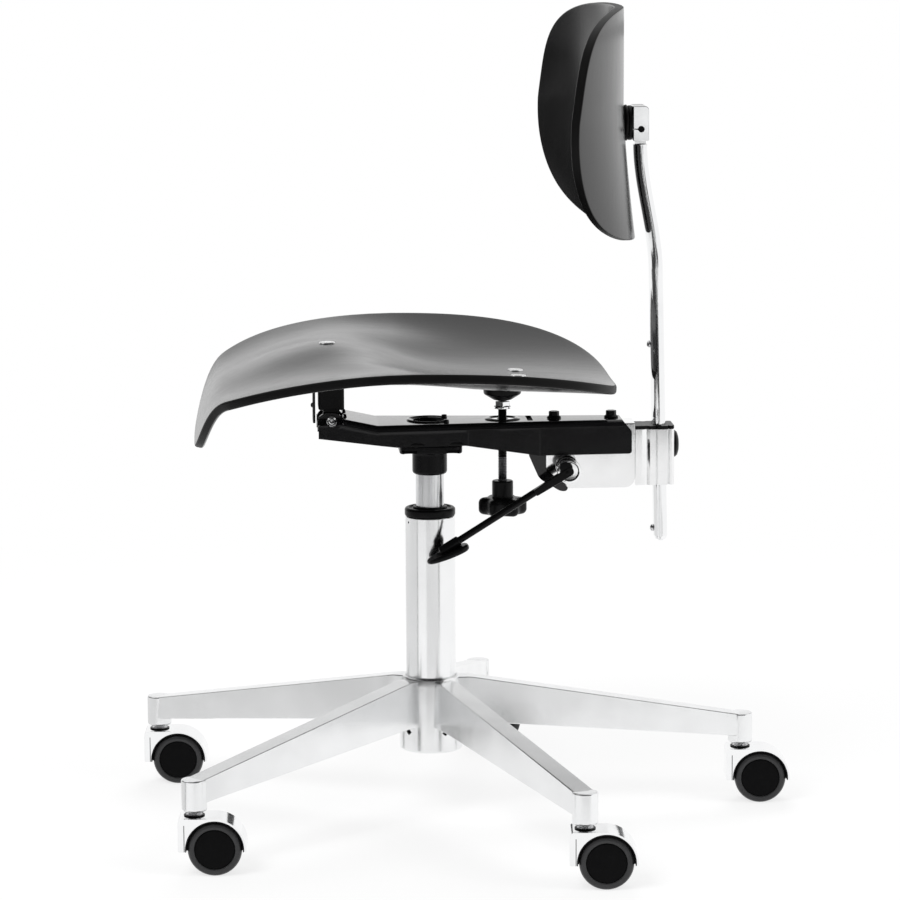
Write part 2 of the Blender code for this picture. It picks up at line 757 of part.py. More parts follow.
def castor_frame():
    """Fender, web between the wheels, axle, neck and stem, moulded as one."""
    middle = (CASTOR_TRAIL, axleZ)
    foot = axleZ - HOOD_SKIRT
    inside = [(CASTOR_TRAIL - fenderInner, foot), *arc(middle, fenderInner, 180, 0, FENDER_STEPS),
              (CASTOR_TRAIL + fenderInner, foot)]
    outline = hood_outline(HOOD_WALL + CLEARANCE) + inside
    fender = side_plate(outline, -castorHalfWidth, castorHalfWidth)
    webRadius = fenderInner + FENDER_WALL / 2
    webFoot = axleZ - WEB_BELOW_AXLE
    web = side_plate([(CASTOR_TRAIL + webRadius, webFoot), *arc(middle, webRadius, 0, 180, FENDER_STEPS),
                      (CASTOR_TRAIL - webRadius, webFoot)], -WEB_WIDTH / 2, WEB_WIDTH / 2)
    axleHalf = castorHalfWidth - HUB_CAP_RECESS - AXLE_COVER - CLEARANCE
    axle = moved(aimed(cylinder(AXLE_DIAMETER, -axleHalf, axleHalf, SMALL_SIDES), (0, 1, 0)),
                 CASTOR_TRAIL, 0, axleZ)
    neckTop = SOCKET_BOTTOM - CLEARANCE
    neck = NECK_DIAMETER / 2
    stem = STEM_DIAMETER / 2
    stemTop = SOCKET_TOP - SOCKET_ROOF - CLEARANCE
    neckFoot = hoodTop - NECK_DEPTH
    pivot = turned([(0, stemTop), (stem, stemTop), (stem, neckTop), (neck, neckTop),
                    (neck, neckFoot), (0, neckFoot)], SMALL_SIDES)
    return combined("castor_frame", fender, joins=[web, axle, pivot])


def castor_wheel():
    """A wheel with its inner face at height 0 and a flat facet at the bottom."""
    radius = WHEEL_RADIUS / math.cos(math.pi / WHEEL_SIDES)
    hole = AXLE_DIAMETER / 2 + CLEARANCE
    capRadius = WHEEL_RADIUS - TREAD_WIDTH
    capFace = WHEEL_WIDTH - HUB_CAP_RECESS
    holeEnd = capFace - AXLE_COVER
    profile = [(0, capFace), (capRadius, capFace), (capRadius, WHEEL_WIDTH),
               (radius - TREAD_CHAMFER, WHEEL_WIDTH), (radius, WHEEL_WIDTH - TREAD_CHAMFER), (radius, 0),
               (hole, 0), (hole, holeEnd), (0, holeEnd)]
    return spun(turned(profile, WHEEL_SIDES), 180 / WHEEL_SIDES)


def build_castors(root, turns, chrome, plastic, tread):
    hood = castor_hood()
    frame = castor_frame()
    wheels = {}
    for side, across in (("left", -1), ("right", 1)):
        wheel = moved(aimed(castor_wheel(), (0, across, 0)), 0, across * (WEB_WIDTH / 2 + CLEARANCE), 0)
        wheels[side] = mesh_of("castor_wheel_" + side, wheel)
    for number, turn in enumerate(turns, 1):
        angle = math.radians(turn)
        x = ARM_REACH * math.cos(angle)
        y = ARM_REACH * math.sin(angle)
        swivel = axis_empty(f"castor_axis_{number}", x, y, 0, root, CASTOR_HEADING)
        axle = axis_empty(f"wheel_axis_{number}", CASTOR_TRAIL, 0, axleZ, swivel)
        piece(f"castor_hood_{number}", hood, chrome, swivel, local=True)
        piece(f"castor_frame_{number}", frame, plastic, swivel, local=True)
        for side, wheel in wheels.items():
            piece(f"castor_wheel_{number}_{side}", wheel, tread, axle, local=True)


# Column and gas lift


def build_column(root, swivelAxis, liftAxis, buttonAxis, chrome, plastic, steel):
    outer = COLUMN_DIAMETER / 2
    inner = outer - COLUMN_WALL
    rod = ROD_DIAMETER / 2
    floorTop = columnBottom + COLUMN_FLOOR
    piece("column_tube", mesh_of("column_tube", turned([
        (inner, COLUMN_TOP), (outer, COLUMN_TOP), (outer, columnBottom), (rod + CLEARANCE, columnBottom),
        (rod + CLEARANCE, floorTop), (inner, floorTop)])), chrome, root)
    slide = CYLINDER_DIAMETER / 2 + CLEARANCE
    collarBottom = COLUMN_TOP + CLEARANCE
    collarTop = collarBottom + COLLAR_HEIGHT
    bushBottom = collarBottom - BUSH_LENGTH
    fit = inner - CLEARANCE
    piece("guide_bush", mesh_of("guide_bush", turned([
        (slide, collarTop), (outer - COLLAR_EDGE, collarTop), (outer, collarTop - COLLAR_EDGE),
        (outer, collarBottom), (fit, collarBottom), (fit, bushBottom), (slide, bushBottom)])), plastic, root)
    ring = BEARING_DIAMETER / 2
    piece("thrust_bearing", mesh_of("thrust_bearing", turned([
        (rod + CLEARANCE, bearingTop), (ring, bearingTop), (ring, bearingBottom),
        (rod + CLEARANCE, bearingBottom)])), steel, root)
    bore = CYLINDER_DIAMETER / 2 - CYLINDER_WALL
    piston = bore - CLEARANCE
    rodTop = columnBottom + ROD_LENGTH
    shoulder = ROD_SHOULDER_DIAMETER / 2
    shoulderBottom = bearingTop + CLEARANCE
    shoulderTop = shoulderBottom + ROD_SHOULDER_HEIGHT
    piece("piston_rod", mesh_of("piston_rod", turned([
        (0, rodTop), (piston, rodTop), (piston, rodTop - PISTON_HEIGHT), (rod, rodTop - PISTON_HEIGHT),
        (rod, shoulderTop), (shoulder, shoulderTop), (shoulder, shoulderBottom), (rod, shoulderBottom),
        (rod, columnBottom), (0, columnBottom)], SMALL_SIDES)), steel, swivelAxis)
    wall = CYLINDER_DIAMETER / 2
    buttonBore = BUTTON_DIAMETER / 2 + CLEARANCE
    boreTop = cylinderTop - CYLINDER_HEAD
    glandTop = cylinderBottom + GLAND_HEIGHT
    piece("gas_cylinder", mesh_of("gas_cylinder", turned([
        (0, cylinderTop - BUTTON_BORE_DEPTH), (buttonBore, cylinderTop - BUTTON_BORE_DEPTH),
        (buttonBore, cylinderTop), (wall - TAPER_DROP, cylinderTop), (wall, sleeveBottom),
        (wall, cylinderBottom), (rod + CLEARANCE, cylinderBottom), (rod + CLEARANCE, glandTop),
        (bore, glandTop), (bore, boreTop), (0, boreTop)])), chrome, liftAxis)
    button = cylinder(BUTTON_DIAMETER, buttonTop - BUTTON_LENGTH, buttonTop, SMALL_SIDES)
    piece("release_button", mesh_of("release_button", button), steel, buttonAxis)


def build_housing(liftAxis, painted):
    long = FLANGE_LENGTH / 2
    wide = carrier_half_width(long)
    corner = FLANGE_CORNER
    outline = [(-long + corner, -wide), (long - corner, -wide), (long, -wide + corner),
               (long, wide - corner), (long - corner, wide), (-long + corner, wide),
               (-long, wide - corner), (-long, -wide + corner)]
    flange = flat_plate(outline, flangeBottom, flangeTop)
    radius = SLEEVE_DIAMETER / 2
    insideFlange = flangeTop - FLANGE_THICKNESS / 2
    sleeve = turned([(0, insideFlange), (radius, insideFlange), (radius, sleeveBottom + SLEEVE_EDGE),
                     (radius - SLEEVE_EDGE / 2, sleeveBottom), (0, sleeveBottom)])
    wall = CYLINDER_DIAMETER / 2 + CLEARANCE
    past = sleeveBottom - SLEEVE_LENGTH
    bore = turned([(0, flangeTop + TAPER_DROP), (wall - TAPER_DROP, flangeTop + TAPER_DROP),
                   (wall, sleeveBottom), (wall, past), (0, past)])
    piece("taper_housing", combined("taper_housing", flange, [sleeve], [bore]), painted, liftAxis)


# Seat carrier


def between(stations, x):
    """The value at x on straight lines between (x, value) stations."""
    for (lowX, low), (highX, high) in zip(stations, stations[1:]):
        if x <= highX:
            break
    share = min(max((x - lowX) / (highX - lowX), 0.0), 1.0)
    return low + share * (high - low)


def carrier_half_width(x):
    return between([(CARRIER_NECK_X, CARRIER_FRONT_WIDTH / 2), (CARRIER_WIDE_X, CARRIER_WIDE_WIDTH / 2),
                    (CARRIER_STEP_X, CARRIER_STEP_WIDTH / 2), (CARRIER_REAR_X, CARRIER_REAR_WIDTH / 2)], x)


def carrier_bottom(x):
    return CARRIER_TOP - between([(CARRIER_FRONT_X, CARRIER_FRONT_DEPTH), (-CARRIER_BEND_X, CARRIER_MID_DEPTH),
                                  (CARRIER_BEND_X, CARRIER_MID_DEPTH), (CARRIER_STEP_X, CARRIER_REAR_DEPTH),
                                  (CARRIER_REAR_X, CARRIER_REAR_DEPTH)], x)


def across_hole(x, z, diameter):
    """A cutter along Y through both sides of the chair."""
    drill = cylinder(diameter, -CARRIER_WIDE_WIDTH, CARRIER_WIDE_WIDTH, SMALL_SIDES)
    return moved(aimed(drill, (0, 1, 0)), x, 0, z)


def down_hole(x, diameter, sides=SMALL_SIDES):
    """A cutter down through the carrier's top."""
    return moved(cylinder(diameter, bracketTop - 2 * BRACKET_WALL, CARRIER_TOP + EAR_HEIGHT, sides), x)


def carrier_body():
    earTop = CARRIER_TOP + EAR_HEIGHT
    tops = [(CARRIER_FRONT_X, earTop - EAR_CORNER), (CARRIER_FRONT_X + EAR_CORNER, earTop),
            (CARRIER_NECK_X - 2 * EAR_CORNER, earTop),
            (CARRIER_NECK_X - EAR_CORNER / 2, earTop - EAR_CORNER),
            (CARRIER_NECK_X, CARRIER_TOP), (CARRIER_WIDE_X, CARRIER_TOP), (-CARRIER_BEND_X, CARRIER_TOP),
            (CARRIER_BEND_X, CARRIER_TOP), (CARRIER_STEP_X, CARRIER_TOP),
            (CARRIER_REAR_X - CARRIER_REAR_CHAMFER, CARRIER_TOP),
            (CARRIER_REAR_X, CARRIER_TOP - CARRIER_REAR_CHAMFER)]

    def section(x, half, bottom, top):
        return [(x, -half, bottom), (x, half, bottom), (x, half, top), (x, -half, top)]

    outside = [section(x, carrier_half_width(x), carrier_bottom(x), top) for x, top in tops]
    roof = CARRIER_TOP - CARRIER_WALL
    past = CARRIER_REAR_CHAMFER
    spans = [CARRIER_FRONT_X - past, CARRIER_NECK_X, CARRIER_WIDE_X, CARRIER_STEP_X, CARRIER_REAR_X + past]
    below = CARRIER_TOP - 2 * CARRIER_REAR_DEPTH
    inside = [section(x, carrier_half_width(x) - CARRIER_WALL, below, roof) for x in spans]
    earInside = CARRIER_FRONT_WIDTH / 2 - CARRIER_WALL
    slot = block(CARRIER_FRONT_X - past, CARRIER_NECK_X - CARRIER_WALL, -earInside, earInside,
                 roof - CARRIER_WALL, earTop + CARRIER_WALL)
    return lofted(outside), lofted(inside), slot


def carrier_gusset():
    """A plate below the near wall, ending in a rearward tab."""
    outer = -carrier_half_width(CARRIER_STEP_X) + GUSSET_INSET
    wallBottom = CARRIER_TOP - CARRIER_REAR_DEPTH
    low = wallBottom - GUSSET_DEPTH
    front = CARRIER_STEP_X - GUSSET_LENGTH
    rear = CARRIER_STEP_X + GUSSET_TAB_WIDTH
    tabEnd = rear + GUSSET_TAB_LENGTH
    outline = [(front, wallBottom + 2 * CARRIER_WALL), (front, wallBottom), (CARRIER_STEP_X, low),
               (tabEnd - GUSSET_TAB_WIDTH, low - GUSSET_TAB_DROP), (tabEnd, low - GUSSET_TAB_DROP),
               (tabEnd, low - GUSSET_TAB_DROP + GUSSET_TAB_WIDTH / 2), (rear, low + GUSSET_TAB_WIDTH),
               (rear, wallBottom + 2 * CARRIER_WALL)]
    return side_plate(outline, outer, outer + GUSSET_THICKNESS)


def build_carrier(liftAxis, painted, steel):
    outside, inside, slot = carrier_body()
    pinFar = carrier_half_width(ROCKER_X) - CARRIER_WALL / 2
    pin = moved(aimed(cylinder(ROCKER_PIN_DIAMETER, -pinFar, rockerInnerY, SMALL_SIDES), (0, 1, 0)),
                ROCKER_X, 0, rockerZ)
    cuts = [slot, moved(cylinder(LIFT_HOLE_DIAMETER, rockerZ, CARRIER_TOP + EAR_HEIGHT)),
            down_hole(SPINDLE_X, SPINDLE_HOLE_DIAMETER, ROUND_SIDES),
            down_hole(BOLT_FRONT_X, BOLT_DIAMETER + 2 * CLEARANCE),
            down_hole(BOLT_REAR_X, BOLT_DIAMETER + 2 * CLEARANCE),
            across_hole(HINGE_X, hingeZ, HINGE_BOLT_DIAMETER + 2 * CLEARANCE)]
    channel = combined("carrier_channel", outside, cuts=[inside, *cuts])
    whole = bmesh.new()
    whole.from_mesh(channel)
    carrier = combined("seat_carrier", whole, joins=[carrier_gusset(), pin])
    piece("seat_carrier", carrier, painted, liftAxis)
    end = CARRIER_FRONT_WIDTH / 2 + CLEARANCE + HINGE_HEAD_HEIGHT
    neck = end - HINGE_HEAD_HEIGHT
    head = HINGE_HEAD_DIAMETER / 2
    shank = HINGE_BOLT_DIAMETER / 2
    bolt = turned([(0, end), (head, end), (head, neck), (shank, neck), (shank, -neck), (head, -neck),
                   (head, -end), (0, -end)], SMALL_SIDES)
    bolt = moved(aimed(bolt, (0, 1, 0)), HINGE_X, 0, hingeZ)
    piece("hinge_bolt", mesh_of("hinge_bolt", bolt), steel, liftAxis)


# Front hinge of the seat


def build_front_hinge(seatAxis, plastic):
    half = CARRIER_FRONT_WIDTH / 2 - CARRIER_WALL - 2 * CLEARANCE
    front = HINGE_X - BLOCK_LENGTH / 2
    bottom = CARRIER_TOP + BLOCK_RISE
    body = under_seat(front, HINGE_X + BLOCK_LENGTH / 2, half, bottom)
    lugTop = bottom + HINGE_LUG_RADIUS / 2
    lugOutline = [(HINGE_X - HINGE_LUG_RADIUS, lugTop),
                  *arc((HINGE_X, hingeZ), HINGE_LUG_RADIUS, 180, 360),
                  (HINGE_X + HINGE_LUG_RADIUS, lugTop)]
    lug = side_plate(lugOutline, CLEARANCE - half, half - CLEARANCE)
    cuts = [across_hole(HINGE_X, hingeZ, HINGE_BOLT_DIAMETER + 2 * CLEARANCE),
            seat_screw_hole(SEAT_SCREW_FRONT_X, 0.0), seat_room()]
    piece("front_block", combined("front_block", body, [lug], cuts), plastic, seatAxis)
    strapRear = front - STRAP_GAP
    strap = under_seat(strapRear - STRAP_THICKNESS, strapRear, STRAP_WIDTH / 2, CARRIER_TOP, 2)
    rivetFront = strapRear - STRAP_THICKNESS - STRAP_RIVET_HEAD
    rivet = cylinder(STRAP_RIVET_DIAMETER, rivetFront, front - CLEARANCE, SMALL_SIDES)
    rivet = moved(aimed(rivet, (1, 0, 0)), 0, 0, CARRIER_TOP + STRAP_RIVET_RISE)
    piece("hinge_strap", combined("hinge_strap", strap, [rivet], [seat_room()]), plastic, seatAxis)


# Tilt spindle


def build_spindle(seatAxis, nutAxis, spindleAxis, liftAxis, plastic, chrome, steel):
    top = seat_underside(SPINDLE_X, 0.0)
    ringTurns = [math.tau * index / ROUND_SIDES for index in range(ROUND_SIDES)]

    def ring(diameter, height, turns=ringTurns):
        radius = diameter / 2
        return [(SPINDLE_X + radius * math.cos(t), radius * math.sin(t), height) for t in turns]

    coneBottom = top - SPINDLE_CONE_BOTTOM
    rings = [ring(SPINDLE_PLATE_DIAMETER, seat_middle(SPINDLE_X, 0.0)),
             ring(SPINDLE_PLATE_DIAMETER, top - SPINDLE_PLATE_EDGE),
             ring(SPINDLE_BOSS_DIAMETER, top - SPINDLE_PLATE_EDGE),
             ring(SPINDLE_BOSS_DIAMETER, top - SPINDLE_CONE_TOP),
             ring(SPINDLE_CONE_DIAMETER, coneBottom)]
    cuts = [seat_screw_hole(SEAT_SCREW_REAR_X, y) for y in (-SEAT_SCREW_REAR_Y, SEAT_SCREW_REAR_Y)]
    cuts.append(seat_room())
    piece("spindle_plate", combined("spindle_plate", lofted(rings), cuts=cuts), plastic, seatAxis)

    nutTop = coneBottom - NUT_PLAY
    nutBottom = nutTop - NUT_HEIGHT
    nut = NUT_DIAMETER / 2
    screw = SPINDLE_DIAMETER / 2
    screwTop = nutTop - NUT_CROWN
    crown = NUT_TOP_DIAMETER / 2
    piece("spindle_nut", mesh_of("spindle_nut", moved(turned([
        (0, nutTop), (crown, nutTop), (nut, nutTop - NUT_DOME_HEIGHT), (nut, nutBottom),
        (screw + CLEARANCE, nutBottom), (screw + CLEARANCE, screwTop), (0, screwTop)],
        SMALL_SIDES), SPINDLE_X)), chrome, nutAxis)
    screwBottom = screwTop - CLEARANCE - SPINDLE_LENGTH
    rod = moved(cylinder(SPINDLE_DIAMETER, screwBottom, screwTop - CLEARANCE, SMALL_SIDES), SPINDLE_X)
    piece("tilt_spindle", mesh_of("tilt_spindle", rod), steel, spindleAxis)

    hubTop = screwBottom - CLEARANCE + STAR_SCREW_DEPTH
    starTop = hubTop - STAR_HUB_HEIGHT
    starBottom = starTop - STAR_HEIGHT
    starTurns = [math.tau * index / (6 * STAR_LOBES) for index in range(6 * STAR_LOBES)]

    def star(share, z):
        points = []
        for turn in starTurns:
            hollow = STAR_LOBE_DEPTH / 2 * (1 - math.cos(STAR_LOBES * turn))
            radius = share * (STAR_DIAMETER / 2 - hollow)
            points.append((SPINDLE_X + radius * math.cos(turn), radius * math.sin(turn), z))
        return points

    knob = lofted([star(STAR_END_SHARE, starBottom), star(1.0, starBottom + STAR_EDGE),
                   star(1.0, starTop - STAR_EDGE), star(STAR_END_SHARE, starTop),
                   ring(STAR_HUB_DIAMETER, starTop + CLEARANCE, starTurns),
                   ring(STAR_HUB_DIAMETER, hubTop, starTurns)])
    hole = moved(cylinder(SPINDLE_DIAMETER + 2 * CLEARANCE, hubTop - STAR_SCREW_DEPTH,
                          hubTop + STAR_EDGE, SMALL_SIDES), SPINDLE_X)
    piece("star_knob", combined("star_knob", knob, cuts=[hole]), plastic, spindleAxis)

    reach = carrier_half_width(SPINDLE_X + TRUNNION_DIAMETER / 2) - CARRIER_WALL - CLEARANCE
    bar = moved(aimed(cylinder(TRUNNION_DIAMETER, -reach, reach), (0, 1, 0)), SPINDLE_X, 0, trunnionZ)
    through = moved(cylinder(SPINDLE_DIAMETER + 2 * CLEARANCE, trunnionZ - TRUNNION_DIAMETER,
                             trunnionZ + TRUNNION_DIAMETER, SMALL_SIDES), SPINDLE_X)
    piece("spindle_trunnion", combined("spindle_trunnion", bar, cuts=[through]), steel, liftAxis)


# Back bracket, clamp and post


def post_centre(z):
    """X of the post's middle at a height."""
    share = min(max((z - POST_BEND_START) / POST_BEND_LENGTH, 0.0), 1.0)
    bend = POST_BEND_OFFSET * share * share * (3 - 2 * share)
    return POST_FOOT_X - POST_LEAN * (z - POST_BOTTOM) - bend


def post_bore(bottom, top):
    grow = 2 * CLEARANCE
    past = POST_THICKNESS / 2
    return lofted([oval(post_centre(z), z, POST_THICKNESS + grow, POST_WIDTH + grow)
                   for z in (bottom - past, top + past)])


def carrier_bolt(x):
    seatZ = CARRIER_TOP + CLEARANCE
    flange = BOLT_FLANGE_DIAMETER / 2
    head = BOLT_HEAD_DIAMETER / 2
    shank = BOLT_DIAMETER / 2
    flangeZ = seatZ + BOLT_FLANGE_HEIGHT
    return moved(turned([(0, flangeZ + BOLT_HEAD_HEIGHT), (head, flangeZ + BOLT_HEAD_HEIGHT), (head, flangeZ),
                         (flange, flangeZ), (flange, seatZ), (shank, seatZ), (shank, seatZ - BOLT_LENGTH),
                         (0, seatZ - BOLT_LENGTH)], SMALL_SIDES), x)


def build_bracket(liftAxis, knobAxis, polished, plastic, steel):
    bottom = CARRIER_TOP - BRACKET_DEPTH
    half = BRACKET_WIDTH / 2
    corner = (BRACKET_REAR_X - BRACKET_REAR_CORNER, bottom + BRACKET_REAR_CORNER)
    outline = [(BRACKET_FRONT_X, bracketTop), (BRACKET_FRONT_X, bottom + BRACKET_FRONT_RISE),
               (BRACKET_FRONT_X + BRACKET_FRONT_CUT, bottom),
               *arc(corner, BRACKET_REAR_CORNER, 270, 360), (BRACKET_REAR_X, bracketTop)]
    past = BRACKET_WALL
    hollow = block(BRACKET_FRONT_X - past, BRACKET_REAR_X + past, -bracketInside, bracketInside,
                   bottom - past, bracketTop - BRACKET_WALL)
    cuts = [hollow, across_hole(LEVER_X, leverZ, LEVER_SHAFT_DIAMETER + 2 * CLEARANCE),
            down_hole(BOLT_FRONT_X, BOLT_DIAMETER + 2 * CLEARANCE),
            down_hole(BOLT_REAR_X, BOLT_DIAMETER + 2 * CLEARANCE)]
    bracket = combined("back_bracket", side_plate(outline, -half, half), cuts=cuts)
    piece("back_bracket", bracket, polished, liftAxis)
    for name, x in (("carrier_bolt_front", BOLT_FRONT_X), ("carrier_bolt_rear", BOLT_REAR_X)):
        piece(name, mesh_of(name, carrier_bolt(x)), steel, liftAxis)

    wide = CLAMP_WIDTH / 2
    narrow = wide - CLAMP_GROOVE
    first = clampFront + CLAMP_GROOVE_FRONT
    second = clampFront + CLAMP_GROOVE_REAR
    near = [(clampFront, narrow), (first - CLAMP_GROOVE, narrow), (first, narrow - CLAMP_GROOVE),
            (first + CLAMP_GROOVE, wide), (second - CLAMP_GROOVE, wide), (second, narrow - CLAMP_GROOVE),
            (second + CLAMP_GROOVE, narrow), (clampRear - CLAMP_GROOVE, narrow),
            (clampRear, narrow - CLAMP_GROOVE)]
    plan = near + [(x, -y) for x, y in reversed(near)]
    knobZ = CLAMP_BOTTOM + KNOB_RISE
    postRear = post_centre(knobZ) + POST_THICKNESS / 2
    screwHole = cylinder(KNOB_SCREW_DIAMETER + 2 * CLEARANCE, postRear, clampRear + KNOB_HEIGHT, SMALL_SIDES)
    screwHole = moved(aimed(screwHole, (1, 0, 0)), 0, 0, knobZ)
    body = flat_plate(plan, CLAMP_BOTTOM, CLAMP_TOP)
    clamp = combined("post_clamp", body, cuts=[post_bore(CLAMP_BOTTOM, CLAMP_TOP), screwHole])
    piece("post_clamp", clamp, polished, liftAxis)
    capBottom = CLAMP_TOP + CLEARANCE
    capTop = capBottom + CAP_THICKNESS
    cap = flat_plate(plan, capBottom, capTop)
    piece("clamp_cap", combined("clamp_cap", cap, cuts=[post_bore(capBottom, capTop)]), plastic, liftAxis)

    radius = KNOB_DIAMETER / 2
    screw = KNOB_SCREW_DIAMETER / 2
    seatX = clampRear + CLEARANCE
    screwEnd = postRear + 2 * CLEARANCE - seatX
    profile = [(share * radius, height * KNOB_HEIGHT) for share, height in KNOB_PROFILE]
    knob = turned([*profile, (screw, 0), (screw, screwEnd), (0, screwEnd)])
    knob = moved(aimed(knob, (1, 0, 0)), seatX, 0, knobZ)
    piece("clamp_knob", mesh_of("clamp_knob", knob), plastic, knobAxis)


def stop_screw(z, grow=0.0):
    """A button screw in the front of the post."""
    face = post_centre(z) - POST_THICKNESS / 2 - CLEARANCE
    head = STOP_HEAD_DIAMETER / 2
    shank = STOP_SHANK_DIAMETER / 2 + grow
    depth = STOP_SHANK_LENGTH + grow
    if grow:
        return moved(aimed(cylinder(2 * shank, -depth, depth, SMALL_SIDES), (-1, 0, 0)), face, 0, z)
    profile = [(0, STOP_HEAD_HEIGHT), (STOP_TOP_DIAMETER / 2, STOP_HEAD_HEIGHT), (head, STOP_EDGE_HEIGHT),
               (head, 0), (shank, 0), (shank, -depth), (0, -depth)]
    return moved(aimed(turned(profile, SMALL_SIDES), (-1, 0, 0)), face, 0, z)


def build_post(postAxis, chrome, steel):
    heights = [(POST_BOTTOM + rise * POST_END_ROUND, share) for rise, share in POST_END_STEPS]
    for step in range(BEND_STEPS + 1):
        heights.append((POST_BEND_START + POST_BEND_LENGTH * step / BEND_STEPS, 1.0))
    heights.append((POST_TOP, 1.0))
    tube = lofted([oval(post_centre(z), z, share * POST_THICKNESS, (1 + share) / 2 * POST_WIDTH)
                   for z, share in heights])
    pinX = post_centre(PIN_Z)
    half = TONGUE_THICKNESS / 2
    tongueFoot = POST_TOP - POST_THICKNESS / 2
    outline = [(pinX + half, tongueFoot), *arc((pinX, PIN_Z), half, 0, 180), (pinX - half, tongueFoot)]
    tongue = side_plate(outline, -TONGUE_WIDTH / 2, TONGUE_WIDTH / 2)
    cuts = [across_hole(pinX, PIN_Z, PIN_DIAMETER + 2 * CLEARANCE)]
    cuts += [stop_screw(z, CLEARANCE) for z in (STOP_UPPER_Z, STOP_LOWER_Z)]
    piece("back_post", combined("back_post", tube, [tongue], cuts), chrome, postAxis)
    piece("stop_screw_upper", mesh_of("stop_screw_upper", stop_screw(STOP_UPPER_Z)), steel, postAxis)
    piece("stop_screw_lower", mesh_of("stop_screw_lower", stop_screw(STOP_LOWER_Z)), steel, postAxis)
    across = BACK_BLOCK_WIDTH / 2
    pin = moved(aimed(cylinder(PIN_DIAMETER, -across, across, SMALL_SIDES), (0, 1, 0)), pinX, 0, PIN_Z)
    piece("back_pin", mesh_of("back_pin", pin), steel, postAxis)


def build_back_hinge(backAxis, chrome, rubber):
    pinX = post_centre(PIN_Z)
    front = pinX - BACK_BLOCK_LENGTH / 2
    rear = pinX + BACK_BLOCK_LENGTH / 2
    bottom = PIN_Z - BACK_BLOCK_BELOW
    top = PIN_Z + BACK_BLOCK_ABOVE
    corner = (rear - BACK_BLOCK_ROUND, top - BACK_BLOCK_ROUND)
    half = BACK_BLOCK_WIDTH / 2
    outline = [(front, bottom), (rear, bottom), *arc(corner, BACK_BLOCK_ROUND, 0, 90), (front, top)]
    body = side_plate(outline, -half, half)
    slotHalf = TONGUE_WIDTH / 2 + TONGUE_PLAY
    slotTop = PIN_Z + TONGUE_THICKNESS / 2 + 2 * TONGUE_PLAY
    slot = block(front - half, rear + half, -slotHalf, slotHalf, bottom - half, slotTop)
    cuts = [slot, across_hole(pinX, PIN_Z, PIN_DIAMETER + 2 * CLEARANCE)]
    piece("back_block", combined("back_block", body, cuts=cuts), chrome, backAxis)
    middleZ = (bottom + top) / 2
    inPlywood = back_depth(0.0, middleZ) + BACK_THICKNESS / 2
    washer = moved(aimed(cylinder(WASHER_DIAMETER, inPlywood, front - CLEARANCE), (1, 0, 0)), 0, 0, middleZ)
    piece("back_washer", combined("back_washer", washer, cuts=[back_room()]), rubber, backAxis)


# Height release


